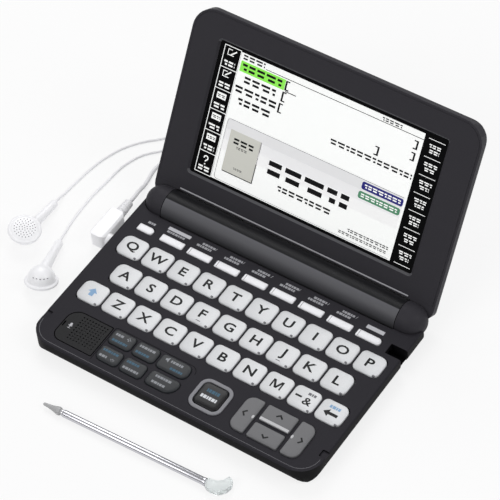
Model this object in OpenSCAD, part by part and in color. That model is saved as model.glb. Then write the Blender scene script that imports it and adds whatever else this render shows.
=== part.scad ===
// Clamshell pocket dictionary with a barrel hinge, a stylus and wired earphones.
// +X is right, +Y is towards the hinge, +Z is up. The origin is the middle of the
// flat underside of the base. The lid is drawn open.

/* [Body] */
// Width of the base and of the lid
body_w = 148; // [140:1:160]
// Depth of the base from its front edge to the back of the hinge barrel
body_d = 101; // [96:1:110]
// Height of the deck above the underside
deck_h = 8.4; // [8.2:0.1:9.4]
// Thickness of the deck plate
deck_t = 1.4; // [1:0.1:1.6]
// Thickness of the side walls
side_wall = 1.4; // [1:0.1:2]
// Thickness of the floor of the bottom case
floor_t = 1.2; // [0.8:0.1:1.4]
// Height of the seam between the bottom case and the top case
seam_h = 4.2; // [3.6:0.1:4.4]
// Radius of the front corners seen from above
corner_r = 10.75; // [7:0.25:14]
// Radius of the lower edges
edge_r = 4.2; // [2:0.1:4.2]
// Height of the rubber feet
foot_h = 0.8; // [0.4:0.1:1.2]
// Diameter of the rubber feet
foot_d = 8; // [5:0.5:12]

/* [Hinge] */
// Outer diameter of the hinge barrel
barrel_d = 15.3; // [14.9:0.1:16.5]
// Length of the hinge barrel
barrel_len = 124; // [118:1:128]
// Wall of the hinge barrel
barrel_wall = 1.35; // [1:0.05:1.5]
// Height of the hinge axis above the underside
axis_h = 7.95; // [7.9:0.05:8.6]
// Diameter of the hinge pins
pin_d = 5; // [4:0.1:6]
// Bore through the left hinge pin for the flat cable
cable_bore_d = 3; // [2.6:0.1:3.2]
// How far the lid is opened
lid_open = 120.7; // [0:0.1:150]

/* [Lid] */
// Length of the lid from the hinge axis
lid_len = 95; // [92:1:102]
// Thickness of the lid
lid_t = 5.5; // [5.3:0.1:6.5]
// Distance from the hinge axis to the lid's front face
lid_set = 2.9; // [2.7:0.1:3.4]
// Radius of the lid's upper corners
lid_corner_r = 11; // [7:0.5:14]
// Width of the lid's edge round the bezel
rim = 1.1; // [0.8:0.1:1.6]
// Width of the display window
window_w = 117.2; // [110:0.5:120]
// Height of the display window
window_h = 64.6; // [60:0.5:66]
// Height of the window's lower edge above the hinge axis
window_v = 18.2; // [17:0.1:19]
// Width of the display
display_w = 94.6; // [90:0.5:100]

/* [Keys] */
// Width of a letter key
key_w = 12.9; // [11:0.1:13.1]
// Depth of a letter key
key_d = 11.4; // [10:0.1:12]
// Distance between neighbouring letter keys
key_pitch = 13.97; // [13.8:0.01:14.1]
// Height of the letter keys above the deck
key_rise = 0.8; // [0.4:0.1:1]
// Travel of the letter keys
key_travel = 0.8; // [0.4:0.1:0.8]
// Clearance round each key
key_gap = 0.2; // [0.1:0.05:0.3]
// Corner radius of a key
key_r = 2.5; // [1:0.1:3]
// Width of a function key
function_w = 12.2; // [10:0.1:13]
// Depth of a function key
function_d = 3.8; // [3:0.1:4]
// Distance between neighbouring function keys
function_pitch = 14.87; // [14.5:0.01:15]
// Travel of the function keys
function_travel = 0.25; // [0.15:0.05:0.25]
// Width of the raised ring round the enter key
ring_w = 1.7; // [1:0.1:2]

/* [Speaker] */
// Holes along each side of the speaker grille
hole_count = 9; // [7:1:9]
// Distance between neighbouring holes
hole_pitch = 1.58; // [1.5:0.01:1.7]
// Width of a hole
hole_d = 0.8; // [0.6:0.05:1]
// Thickness of the grille plate
grille_t = 0.4; // [0.3:0.05:0.6]

/* [Stylus] */
// Length of the stylus
stylus_len = 94; // [90:1:100]
// Diameter of the stylus tube
stylus_d = 3.5; // [3:0.1:3.6]
// Diameter of the stylus point's widest part
point_d = 3.9; // [3.6:0.05:4]
// Clearance round the stylus in its garage
garage_gap = 0.15; // [0.1:0.05:0.2]
// Depth of the garage
garage_len = 88; // [86:1:92]

/* [Batteries] */
// Diameter of a battery cell
cell_d = 10.5; // [10:0.1:10.8]
// Length of a battery cell
cell_len = 44.5; // [43:0.1:44.9]

/* [Earphones] */
// Diameter of the plug's pin
plug_d = 3.5; // [2.5:0.1:3.6]
// Length of the plug's pin inside the jack
plug_len = 14; // [10:0.5:15]
// Diameter of the cord to the splitter
main_cord_d = 2; // [1.6:0.1:2]
// Diameter of the two cords to the earbuds
thin_cord_d = 1.2; // [1:0.1:1.2]
// Diameter of an earbud's face
bud_d = 15.6; // [14:0.1:16.5]

/* [Hidden] */
$fn = 48;
// running clearance of the hinge pins and of the plug, and the slack of parts laid in a seat
pin_gap = 0.05;
slack = 0.1;
eps = 0.01;

half_w = body_w / 2;
front_y = -body_d / 2;
barrel_r = barrel_d / 2;
axis_y = body_d / 2 - barrel_r;
barrel_half = barrel_len / 2;
ear_gap = 0.2;
ear_x = barrel_half + ear_gap;
ear_inset = 0.15;
ear_len = half_w - ear_inset - barrel_r - ear_x;
ear_sweep = 0.45;
deck_low = deck_h - deck_t;
deck_back = axis_y - barrel_r - 1;
floor_back = axis_y - 3.35;
horn_back = axis_y - 2;
ground = -foot_h;
lid_front = -lid_set;
lid_back = -lid_set - lid_t;
lid_sweep_r = barrel_r + ear_sweep;
tilt = 180 - lid_open;

// layers inside the base, from the board up to the keys
board_low = seam_h;
board_t = 1;
sheet_t = 0.4;
sheet_low = board_low + board_t;
key_low = sheet_low + sheet_t + key_travel + slack;
key_top = deck_h + key_rise;
function_low = deck_low - 0.3;
function_top = deck_h + 0.5;
strip_t = 0.2;
strip_low = function_low - function_travel - 0.05 - strip_t;
sheet_x = half_w - 8;
tab = 0.9;
front_tab = 0.6;

// rows between the function keys and the dark keys share out the free depth
function_y = deck_back - 9.05;
high_in = 18.55;
low_in = 8.8;
high_y = front_y + high_in;
low_y = front_y + low_in;
dark_d = 7.9;
row_room = function_y - function_d / 2 - high_y - dark_d / 2 - 3 * key_d;
row_share = [0.255, 0.217, 0.215];
row_1_y = function_y - function_d / 2 - row_share[0] * row_room - key_d / 2;
row_2_y = row_1_y - key_d - row_share[1] * row_room;
row_3_y = row_2_y - key_d - row_share[2] * row_room;
row_mid = [1, 1, 0.9];
row_1 = [row_mid[0] - 4.5 * key_pitch, row_1_y];
row_2 = [row_mid[1] - 4 * key_pitch, row_2_y];
row_3 = [row_mid[2] - 4.5 * key_pitch, row_3_y];
function_mid = 3.65;
power_step = 14.5;
function_row = [function_mid - 3.5 * function_pitch, function_y];
power_key_at = [function_row[0] - power_step, function_y];
power_key_size = [8.2, function_d];
// how far the keys in front stand in from the left and the right side and from the front
page_in = 38.9;
jump_in = 51.6;
voice_in = 66.5;
back_in = 67;
left_in = 40.9;
right_in = 14.2;
up_in = 27.5;
down_in = 27.6;
low_step = 0.1;
enter_x = 15.1;
enter_in = 13.6;
side_y_in = 14;
up_y_in = 18.9;
// keys in front: middle, size, corner radii
page_up_at = [page_in - half_w, high_y];
page_up_size = [11.8, dark_d];
page_down_at = [page_in - half_w, low_y];
page_down_size = [11.7, dark_d];
page_down_radii = [2, 2, 3, 2];
jump_at = [jump_in - half_w, high_y];
jump_size = [11.8, dark_d];
history_at = [jump_in - half_w, low_y];
history_size = [11.7, dark_d];
voice_at = [voice_in - half_w, high_y];
voice_size = [15.8, dark_d];
voice_radii = [3, 2, 2, 3];
back_at = [back_in - half_w, low_y + low_step];
back_size = [15.2, dark_d];
back_radii = [2, 2, 2, 5.4];
enter_at = [enter_x, front_y + enter_in];
enter_size = [12.8, 12.5];
enter_r = 2.6;
left_at = [half_w - left_in, front_y + side_y_in];
left_radii = [0.8, 4, 4, 0.8];
right_at = [half_w - right_in, front_y + side_y_in];
right_radii = [4, 0.8, 0.8, 4];
side_arrow_size = [8, 18.4];
up_at = [half_w - up_in, front_y + up_y_in];
up_size = [15.1, 8.5];
down_at = [half_w - down_in, low_y - low_step];
down_size = [15.1, dark_d];
front_keys = [
    [page_up_at, page_up_size, even(2)], [page_down_at, page_down_size, page_down_radii],
    [jump_at, jump_size, even(2)], [history_at, history_size, even(2)],
    [voice_at, voice_size, voice_radii], [back_at, back_size, back_radii],
    [enter_at, enter_size, even(enter_r)],
    [left_at, side_arrow_size, left_radii], [right_at, side_arrow_size, right_radii],
    [up_at, up_size, even(0.8)], [down_at, down_size, even(0.8)]
];

// four equal corner radii
function even(r) = [r, r, r, r];

// speaker, microphone, jack, stylus garage
speaker_in = [23.25, 14.1];
speaker_at = [speaker_in[0] - half_w, front_y + speaker_in[1]];
speaker_w = 15;
speaker_window = 13.4;
speaker_depth = 4.4;
grille_in = [20.75, 13.5];
grille_at = [grille_in[0] - half_w, front_y + grille_in[1]];
grille_size = [21.9, 18];
grille_radii = [0.6, 6, 4.5, 0.6];
mic_in = 10.9;
mic_at = [mic_in - half_w, grille_at[1]];
mic_slit = [0.8, 3.1];
jack_y = 15;
jack_w = 7;
jack_r = plug_d / 2 + pin_gap;
jack_z = floor_t + 0.35 + jack_r;
jack_h = 2 * jack_r + 0.7;
jack_x = -half_w + slack;
garage_y = deck_back - 9.6;
garage_r = point_d / 2 + garage_gap;
garage_z = floor_t + 0.45 + garage_r;
garage_w = 2 * garage_r + 0.8;
mouth_in = 8.1;
garage_mouth_x = half_w - mouth_in;
mouth_d = 5.75;
wall_t = 1;
// pocket in each side of the deck
pocket_in = 14;
pocket_size = [6.6, 3.8];
pocket_depth = 0.8;
layer_back = garage_y - 5.6;

// posts for the case screws
post_in = 4.2;
post_x = half_w - post_in;
rear_post = [half_w - 17, deck_back - 3.6];
posts = [
    [-post_x, front_y + 12.5], [post_x, front_y + 12.5], [-post_x, row_2_y + 5], [post_x, row_2_y + 5],
    [-rear_post[0], rear_post[1]], rear_post
];
post_r = 2;
screw_r = 1;
head_r = 1.8;
head_h = 0.8;
socket_r = 0.9;
foot_in = 12;
foot_x = half_w - foot_in;
foot_y = [front_y + 9.5, deck_back - 12.2];
foot_at = [[-foot_x, foot_y[0]], [foot_x, foot_y[0]], [-foot_x, foot_y[1]], [foot_x, foot_y[1]]];
// bare panel for a rating label, set off by a groove between the feet
label_size = [104, 40];
label_at = [0, (foot_y[0] + foot_y[1]) / 2];
groove_w = 0.8;
groove_depth = 0.4;

// battery compartment in the barrel
contact_t = 0.8;
bulkhead_x = cell_len + contact_t;
bulkhead_t = 1.5;
cover_half = cell_len + 0.35;
cover_wall = 1.2;
cover_from = -100;
cover_to = -28;
cover_gap_deg = 1;
end_wall = 5;
pin_reach = 4.4;
flange_t = 2;

// earphone plug beside the body
plug_block = [8.2, 17.8, 8];
plug_x = -half_w - 3.2 - plug_block[0] / 2;
plug_y = 20.1;
relief_len = 9;
relief_x = plug_x - 0.2;
relief_end_y = plug_y + plug_block[1] / 2 + relief_len;
floor_main = ground + main_cord_d / 2;
floor_thin = ground + thin_cord_d / 2;

// wound lengths of cord: middle, turns, outer radius, start angle, direction
coil_gap = 0.45;
loop_rings = 24;
main_coil_at = [-42, 87];
main_turns = 7.5;
main_outer = 15.7;
left_coil_at = [-72, 113.3];
left_turns = 7;
right_coil_at = [-72, 92.1];
right_turns = 7.25;
thin_outer = 9.3;
splitter_x = [-64, -52];
splitter_y = 102.7;
splitter_h = 5;
splitter_w = 6;

// routes of the free cords, from what they leave to their coils
main_route = [
    [relief_x, relief_end_y, jack_z], [relief_x, 41.5, jack_z], [-82.3, 46, 2.4], [-83, 51, 0.8],
    [-84, 56, floor_main], [-84.8, 60.5, floor_main], [-84.6, 65, floor_main], [-82.5, 68.8, floor_main],
    [-78.5, 71, floor_main], [-73, 71.8, floor_main], [-66, 71.6, floor_main], [-58, 71.4, floor_main],
    [-50, 71.3, floor_main], [-44, 71.3, floor_main], [-42, 71.3, floor_main]
];
left_stem_end = [-112.2, 21.25, 1.2];
left_route = [
    left_stem_end, [-112.25, 22.65, 1.2], [-112.4, 26, 0.5], [-112.4, 29.2, floor_thin],
    [-112.2, 33, floor_thin], [-111.8, 38, floor_thin], [-111, 46, floor_thin], [-109.8, 53, floor_thin],
    [-108.1, 58.6, floor_thin], [-106.1, 63.8, floor_thin], [-103.5, 68.2, floor_thin],
    [-100.5, 72.2, floor_thin], [-97.2, 75.6, floor_thin], [-93.7, 78.8, floor_thin],
    [-91, 82, floor_thin], [-89, 87, floor_thin], [-88.4, 93, floor_thin], [-87.4, 98.5, floor_thin],
    [-84.6, 102.4, floor_thin], [-80, 104, floor_thin], [-75, 104, floor_thin], [-72, 104, floor_thin]
];
right_stem_end = [-96.4, 3.3, 1.2];
right_route = [
    right_stem_end, [-96.8, 4.65, 1.2], [-97.7, 7.8, 0.5], [-98.5, 10.9, floor_thin],
    [-99.2, 14.2, floor_thin], [-99.7, 18, floor_thin], [-100.2, 24, floor_thin], [-100.5, 32, floor_thin], [-100.3, 38.3, floor_thin],
    [-99.8, 44.6, floor_thin], [-99.2, 54.2, floor_thin], [-97.7, 60.1, floor_thin],
    [-95.6, 65.3, floor_thin], [-92.7, 69.2, floor_thin], [-89, 72.9, floor_thin],
    [-85.4, 76.8, floor_thin], [-82.8, 81.6, floor_thin], [-81.5, 87, floor_thin],
    [-81.3, 90.5, floor_thin], [-81.3, 92.1, floor_thin]
];

// points of an arc round (x, y)
function arc_points(x, y, r, from, to, steps) =
    [for (i = [0:steps]) let (a = from + (to - from) * i / steps) [x + r * cos(a), y + r * sin(a)]];

// rectangle with a radius for each corner, counter-clockwise from the rear right
function corner_points(w, d, radii, steps) = concat(
    arc_points(w / 2 - radii[0], d / 2 - radii[0], radii[0], 0, 90, steps),
    arc_points(-w / 2 + radii[1], d / 2 - radii[1], radii[1], 90, 180, steps),
    arc_points(-w / 2 + radii[2], -d / 2 + radii[2], radii[2], 180, 270, steps),
    arc_points(w / 2 - radii[3], -d / 2 + radii[3], radii[3], 270, 360, steps)
);

function rounded_points(w, d, r, steps = 3) = corner_points(w, d, [r, r, r, r], steps);

module plate(at, size, r, low, high, steps = 3) {
    translate([at[0], at[1], low])
        linear_extrude(high - low)
            polygon(rounded_points(size[0], size[1], r, steps));
}

module box(low, high) {
    translate(low) cube(high - low);
}

// cylinder along X
module rod_x(x0, x1, y, z, r) {
    translate([x0, y, z]) rotate([0, 90, 0]) cylinder(h = x1 - x0, r = r);
}

// outline in Y and Z drawn out along X
module drawn_x(x0, x1, points) {
    translate([x0, 0, 0]) rotate([90, 0, 90]) linear_extrude(x1 - x0) polygon(points);
}

// the lid's own frame: X along the hinge axis, Y up the lid, Z towards the user
module in_lid() {
    translate([0, axis_y, axis_h]) rotate([tilt, 0, 0]) children();
}

/* Base */

// outline of the case seen from above, with its middle cut back to the barrel
function case_outline(back) = concat(
    arc_points(-half_w + corner_r, front_y + corner_r, corner_r, 180, 270, 8),
    arc_points(half_w - corner_r, front_y + corner_r, corner_r, 270, 360, 8),
    [[half_w, horn_back], [barrel_half - slack, horn_back], [barrel_half - slack, back],
     [-barrel_half + slack, back], [-barrel_half + slack, horn_back], [-half_w, horn_back]]
);

// edge profile across the case, rounded below and bevelled above
function side_profile(half, bevel) = concat(
    arc_points(-half + edge_r, edge_r, edge_r, 180, 270, 5),
    arc_points(half - edge_r, edge_r, edge_r, 270, 360, 5),
    [[half, deck_h - bevel], [half - bevel, deck_h], [-half + bevel, deck_h], [-half, deck_h - bevel]]
);

function front_profile(bevel) = concat(
    arc_points(front_y + edge_r, edge_r, edge_r, 180, 270, 5),
    [[body_d, 0], [body_d, deck_h], [front_y + bevel, deck_h], [front_y, deck_h - bevel]]
);

// space that each ear of the lid turns in
module ear_room(grow) {
    for (side = [-1, 1])
        translate([side * (ear_x - ear_gap - slack), axis_y, axis_h])
            rotate([0, side * 90, 0])
                rotate_extrude()
                    polygon(concat(
                        [[0, 0], [barrel_r + grow, 0]],
                        arc_points(0, ear_len + ear_gap + slack, barrel_r + grow, 0, 90, 9)
                    ));
}

module case_body(back, low, high) {
    bevel = 0.6;
    difference() {
        intersection() {
            translate([0, 0, low]) linear_extrude(high - low) polygon(case_outline(back));
            translate([0, body_d, 0]) rotate([90, 0, 0])
                linear_extrude(2 * body_d) polygon(side_profile(half_w, bevel));
            drawn_x(-half_w, half_w, front_profile(bevel));
        }
        ear_room(ear_sweep);
    }
}

inner_w = 2 * (half_w - side_wall);
inner_front = front_y + side_wall;
inner_d = deck_back - side_wall - inner_front;
inner_at = [0, inner_front + inner_d / 2];
low_inset = edge_r - side_wall + 0.2;

module bottom_case() {
    color([0.13, 0.13, 0.14]) {
        difference() {
            case_body(floor_back, 0, seam_h);
            plate(inner_at, [inner_w, inner_d], corner_r - side_wall, seam_h - 1, seam_h + 1, 8);
            plate([inner_at[0], inner_at[1] + low_inset / 2],
                  [inner_w - 2 * low_inset, inner_d - low_inset], corner_r - edge_r, floor_t, seam_h, 8);
            box([-barrel_half + 2 * wall_t, deck_back - side_wall - 1, floor_t],
                [barrel_half - 2 * wall_t, body_d, seam_h + 1]);
            rod_x(-barrel_half + slack, barrel_half - slack, axis_y, axis_h, barrel_r + 2 * slack);
            jack_cut();
            mouth_cut();
            screw_holes();
            label_groove();
        }
        difference() {
            union() {
                for (p = posts)
                    plate(p, [2 * post_r, 2 * post_r], post_r, floor_t, board_low, 8);
                board_ribs();
                mouth_walls(floor_t, seam_h);
            }
            screw_holes();
            garage_bore();
        }
    }
}

// ribs that carry the main board
module board_ribs() {
    for (y = [row_3_y - 5, row_2_y + 10])
        box([18 - half_w, y, floor_t], [half_w - 14, y + 1.2, board_low]);
}

module label_groove() {
    difference() {
        plate(label_at, [label_size[0] + 2 * groove_w, label_size[1] + 2 * groove_w], 2, -1, groove_depth);
        plate(label_at, label_size, 1.4, -2, groove_depth + 1);
    }
}

module screw_holes() {
    for (p = posts)
        translate([p[0], p[1], 0]) {
            translate([0, 0, -1]) cylinder(h = deck_low, r = screw_r + pin_gap);
            translate([0, 0, -1]) cylinder(h = 1 + head_h, r = head_r + slack);
        }
}

// way into the jack through the left wall
module jack_cut() {
    box([-half_w - 1, jack_y - jack_w / 2 - slack, floor_t],
        [-half_w + 6, jack_y + jack_w / 2 + slack, floor_t + jack_h + slack]);
}

// open mouth of the stylus garage in the right edge
module mouth_cut() {
    box([garage_mouth_x, garage_y - mouth_d / 2, floor_t], [half_w + 1, garage_y + mouth_d / 2, deck_h + 1]);
}

module mouth_walls(low, high) {
    edge = garage_y + mouth_d / 2;
    near = garage_y - mouth_d / 2;
    box([garage_mouth_x - wall_t, near - wall_t, low], [garage_mouth_x, edge + wall_t, high]);
    for (y = [near - wall_t, edge])
        box([garage_mouth_x - eps, y, low], [half_w - side_wall, y + wall_t, high]);
}

module garage_bore() {
    rod_x(garage_mouth_x - garage_len, garage_mouth_x + 1, garage_y, garage_z, garage_r);
}

// hole in the deck for a key
module key_hole(at, size, r) {
    plate(at, [size[0] + 2 * key_gap, size[1] + 2 * key_gap], r + key_gap, deck_low - 1, deck_h + 1);
}

module letter_holes(first, count) {
    for (i = [0:count - 1])
        key_hole([first[0] + i * key_pitch, first[1]], [key_w, key_d], key_r);
}

module top_case() {
    color([0.2, 0.2, 0.21]) {
        difference() {
            case_body(deck_back, seam_h, deck_h);
            plate(inner_at, [inner_w, inner_d], corner_r - side_wall, seam_h - 1, deck_low, 8);
            box([-barrel_half + 2 * wall_t, deck_back - side_wall - 1, seam_h - 1],
                [barrel_half - 2 * wall_t, deck_back + 1, seam_h + 0.6]);
            letter_holes(row_1, 10);
            letter_holes(row_2, 9);
            letter_holes(row_3, 10);
            for (i = [0:7])
                key_hole([function_row[0] + i * function_pitch, function_row[1]],
                         [function_w, function_d], 1);
            key_hole(power_key_at, power_key_size, 1);
            for (k = front_keys)
                translate([k[0][0], k[0][1], deck_low - 1])
                    linear_extrude(deck_t + 2)
                        polygon(corner_points(k[1][0] + 2 * key_gap, k[1][1] + 2 * key_gap,
                                              [for (r = k[2]) r + key_gap], 3));
            plate(speaker_at, [speaker_window, speaker_window], 1, deck_low - 1, deck_h + 1);
            grille_seat(slack, deck_h - grille_t, deck_h + 1);
            plate(mic_at, mic_slit, 0.35, deck_low - 1, deck_h + 1);
            jack_cut();
            mouth_cut();
            for (side = [-1, 1])
                plate([side * half_w, front_y + pocket_in], pocket_size, 0.6, deck_h - pocket_depth, deck_h + 1);
        }
        difference() {
            union() {
                for (p = posts)
                    plate(p, [2 * post_r, 2 * post_r], post_r, board_low, deck_low, 8);
                mouth_walls(seam_h, deck_low);
            }
            for (p = posts)
                translate([p[0], p[1], 0]) cylinder(h = deck_low - 0.5, r = screw_r + pin_gap);
            garage_bore();
        }
    }
}

module case_screws() {
    color([0.55, 0.55, 0.57])
        for (p = posts)
            translate([p[0], p[1], slack]) {
                difference() {
                    cylinder(h = head_h - slack, r = head_r);
                    translate([0, 0, -1]) cylinder(h = 1.4, r = socket_r, $fn = 6);
                }
                translate([0, 0, head_h - slack - eps]) cylinder(h = deck_low - 1 - head_h, r = screw_r);
            }
}

module rubber_feet() {
    color([0.08, 0.08, 0.08])
        for (p = foot_at)
            translate([p[0], p[1], ground]) cylinder(h = foot_h, r = foot_d / 2);
}

// wedge of the barrel that the battery cover fills
module cover_wedge(half, from, to) {
    reach = 2 * barrel_r;
    drawn_x(-half, half, [
        [axis_y, axis_h],
        [axis_y + reach * cos(from), axis_h + reach * sin(from)],
        [axis_y + 1.5 * reach * cos((from + to) / 2), axis_h + 1.5 * reach * sin((from + to) / 2)],
        [axis_y + reach * cos(to), axis_h + reach * sin(to)]
    ]);
}

module hinge_barrel() {
    inner_r = barrel_r - barrel_wall;
    bulk_end = bulkhead_x + bulkhead_t;
    color([0.3, 0.3, 0.32]) {
        difference() {
            union() {
                rod_x(-barrel_half, barrel_half, axis_y, axis_h, barrel_r);
                // tongue under the deck
                box([-barrel_half + 4, deck_back - 1.4, floor_t],
                    [barrel_half - 4, axis_y - barrel_r + 2.4, floor_t + 1.2]);
            }
            rod_x(-bulkhead_x, bulkhead_x, axis_y, axis_h, inner_r);
            for (side = [-1, 1]) {
                low = side < 0 ? -barrel_half + end_wall : bulk_end;
                high = side < 0 ? -bulk_end : barrel_half - end_wall;
                rod_x(low, high, axis_y, axis_h, inner_r);
            }
            rod_x(-barrel_half - 1, -bulk_end, axis_y, axis_h, pin_d / 2 + pin_gap);
            rod_x(bulk_end, barrel_half + 1, axis_y, axis_h, pin_d / 2 + pin_gap);
            cover_wedge(cell_len + 0.5, cover_from, cover_to);
        }
    }
}

module battery_cover() {
    color([0.28, 0.28, 0.3])
        intersection() {
            difference() {
                rod_x(-cover_half, cover_half, axis_y, axis_h, barrel_r);
                rod_x(-body_w, body_w, axis_y, axis_h, barrel_r - cover_wall);
            }
            cover_wedge(cover_half, cover_from + cover_gap_deg, cover_to - cover_gap_deg);
        }
}

module battery_cells() {
    nub = 1;
    color([0.75, 0.6, 0.2])
        for (x = [-cell_len, 0]) {
            rod_x(x, x + cell_len - nub, axis_y, axis_h, cell_d / 2);
            rod_x(x + cell_len - nub - eps, x + cell_len - slack / 4, axis_y, axis_h, 1.8);
        }
}

module battery_contacts() {
    color([0.75, 0.76, 0.78])
        for (x = [-cell_len - contact_t, cell_len])
            rod_x(x, x + contact_t, axis_y, axis_h, cell_d / 2 - 0.4);
}

// each pin has a flange against the inside of the barrel's end wall
module hinge_pins() {
    flange_r = barrel_r - barrel_wall - 2 * slack;
    inner = barrel_half - end_wall;
    reach = barrel_half + pin_reach;
    color([0.7, 0.7, 0.72])
        difference() {
            union() {
                rod_x(-reach, -inner, axis_y, axis_h, pin_d / 2);
                rod_x(-inner, -inner + flange_t, axis_y, axis_h, flange_r);
                rod_x(inner, reach, axis_y, axis_h, pin_d / 2);
                rod_x(inner - flange_t, inner, axis_y, axis_h, flange_r);
            }
            rod_x(-reach - 1, -inner + flange_t + 1, axis_y, axis_h, cable_bore_d / 2);
        }
}

module main_board() {
    board_w = half_w - side_wall - 5;
    color([0.1, 0.35, 0.2]) {
        difference() {
            box([-board_w, front_y + 4.5, board_low], [board_w, layer_back + 1, board_low + board_t]);
            // room for the speaker, the microphone and the jack
            box([-board_w - 1, front_y + 3, board_low - 1],
                [speaker_at[0] + speaker_w / 2 + 1, speaker_at[1] + speaker_w / 2 + 1, board_low + 2]);
            box([-board_w - 1, jack_y - jack_w / 2 - 1, board_low - 1],
                [jack_x + plug_len + 2, jack_y + jack_w / 2 + 2, board_low + 2]);
        }
        // chips under the board
        for (chip = [[-30, -8, 14], [0, -8, 10], [24, -10, 12], [-10, -34, 8], [40, -38, 9]])
            box([chip[0], chip[1], board_low - 1.2], [chip[0] + chip[2], chip[1] + chip[2], board_low + eps]);
    }
}

// rib in half of the space that the feet of two rows of keys leave between them
module sheet_rib(from_x, high, low) {
    room = (high - low - 2 * tab) / 4;
    mid = (high + low) / 2;
    box([from_x, mid - room, sheet_low + sheet_t - eps], [sheet_x - 2, mid + room, deck_low]);
}

module keypad_sheets() {
    color([0.75, 0.75, 0.72]) {
        difference() {
            union() {
                box([-sheet_x, front_y + 6, sheet_low], [sheet_x, layer_back, sheet_low + sheet_t]);
                // ribs between the rows hold the sheet under the deck
                sheet_rib(-sheet_x + 2, row_1_y - key_d / 2, row_2_y + key_d / 2);
                sheet_rib(-sheet_x + 2, row_2_y - key_d / 2, row_3_y + key_d / 2);
                sheet_rib(page_up_at[0] - 2.8, row_3_y - key_d / 2, high_y + dark_d / 2);
            }
            box([-sheet_x - 1, front_y + 5, sheet_low - 1],
                [speaker_at[0] + speaker_w / 2 + 1, speaker_at[1] + speaker_w / 2 + 1, sheet_low + 1]);
            box([-sheet_x - 1, jack_y - jack_w / 2 - 1, sheet_low - 1],
                [jack_x + plug_len + 2, layer_back + 1, sheet_low + 1]);
        }
        // key strip over the stylus garage
        box([-sheet_x - 2, garage_y - garage_w / 2 + eps, strip_low],
            [garage_mouth_x - wall_t - slack, garage_y + garage_w / 2 - eps, strip_low + strip_t]);
    }
}

// plan of the grille plate, grown by a clearance where it is let into the deck
module grille_seat(grow, low, high) {
    translate([grille_at[0], grille_at[1], low])
        linear_extrude(high - low)
            polygon(corner_points(grille_size[0] + 2 * grow, grille_size[1] + 2 * grow, grille_radii, 6));
}

module speaker_grille() {
    low = deck_h - grille_t;
    span = (hole_count - 1) * hole_pitch;
    color([0.16, 0.16, 0.17])
        difference() {
            grille_seat(0, low, deck_h);
            for (i = [0:hole_count - 1], j = [0:hole_count - 1])
                translate([speaker_at[0] - span / 2 + i * hole_pitch,
                           speaker_at[1] - span / 2 + j * hole_pitch, low - 1])
                    cylinder(h = grille_t + 2, r = hole_d / 2, $fn = 8);
            plate(mic_at, mic_slit, 0.35, low - 1, deck_h + 1);
        }
}

module speaker() {
    color([0.3, 0.3, 0.3]) {
        plate(speaker_at, [speaker_w, speaker_w], 1.5, deck_low - 1.4, deck_low);
        translate([speaker_at[0], speaker_at[1], deck_low - speaker_depth])
            cylinder(h = speaker_depth - 1.4 + eps, r = 5.5);
    }
}

module microphone() {
    color([0.6, 0.6, 0.6])
        translate([mic_at[0], mic_at[1], deck_low - 2]) cylinder(h = 2, r = 2.1);
}

module enter_ring() {
    outer = [enter_size[0] + 2 * (key_gap + ring_w), enter_size[1] + 2 * (key_gap + ring_w)];
    color([0.5, 0.5, 0.52])
        difference() {
            plate(enter_at, outer, enter_r + key_gap + ring_w, deck_h, deck_h + 0.6, 6);
            plate(enter_at, [enter_size[0] + 2 * key_gap, enter_size[1] + 2 * key_gap], enter_r + key_gap,
                  deck_h - 1, deck_h + 2, 6);
        }
}

module earphone_jack() {
    color([0.1, 0.1, 0.1])
        difference() {
            box([jack_x, jack_y - jack_w / 2, floor_t], [jack_x + plug_len + 1.5, jack_y + jack_w / 2, floor_t + jack_h]);
            rod_x(jack_x - 1, jack_x + plug_len + 0.4, jack_y, jack_z, jack_r);
        }
}

module stylus_sleeve() {
    far = garage_mouth_x - wall_t;
    color([0.15, 0.15, 0.15])
        difference() {
            box([garage_mouth_x - garage_len - 1, garage_y - garage_w / 2, floor_t],
                [far, garage_y + garage_w / 2, strip_low]);
            garage_bore();
        }
}

/* Keys */

// a key: a cap through the deck and a foot under it that stops it against the deck
module key(at, size, radii, low, high, reach) {
    translate([at[0], at[1], low])
        linear_extrude(high - low)
            polygon(corner_points(size[0], size[1], radii, 3));
    box([at[0] - size[0] / 2 + 3 * key_gap, at[1] - size[1] / 2 - reach, low],
        [at[0] + size[0] / 2 - 3 * key_gap, at[1] + size[1] / 2 + reach, deck_low]);
}

module letter_row(first, count) {
    last = count - 1;
    wide = 1.4 * key_r;
    for (i = [0:last]) {
        right = i == last ? wide : key_r;
        left = i == 0 ? wide : key_r;
        key([first[0] + i * key_pitch, first[1]], [key_w, key_d],
            [right, left, left, right], key_low, key_top, tab);
    }
}

module letter_keys_row_1() {
    color([0.88, 0.88, 0.9]) letter_row(row_1, 10);
}

module letter_keys_row_2() {
    color([0.88, 0.88, 0.9]) letter_row(row_2, 9);
}

module letter_keys_row_3() {
    color([0.88, 0.88, 0.9]) letter_row(row_3, 10);
}

module function_keys() {
    color([0.93, 0.93, 0.93])
        for (i = [0:7])
            key([function_row[0] + i * function_pitch, function_row[1]], [function_w, function_d],
                [1, 1, 1, 1], function_low, function_top, tab / 2);
}

module power_key() {
    color([0.93, 0.93, 0.93])
        key(power_key_at, power_key_size, [1, 1, 1, 1], function_low, function_top, tab / 2);
}

module dark_key(at, size, radii) {
    color([0.24, 0.24, 0.25]) key(at, size, radii, key_low, key_top, front_tab);
}

module page_up_key() {
    dark_key(page_up_at, page_up_size, even(2));
}

module page_down_key() {
    dark_key(page_down_at, page_down_size, page_down_radii);
}

module jump_key() {
    dark_key(jump_at, jump_size, even(2));
}

module history_key() {
    dark_key(history_at, history_size, even(2));
}

module voice_key() {
    dark_key(voice_at, voice_size, voice_radii);
}

module back_key() {
    dark_key(back_at, back_size, back_radii);
}

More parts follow.
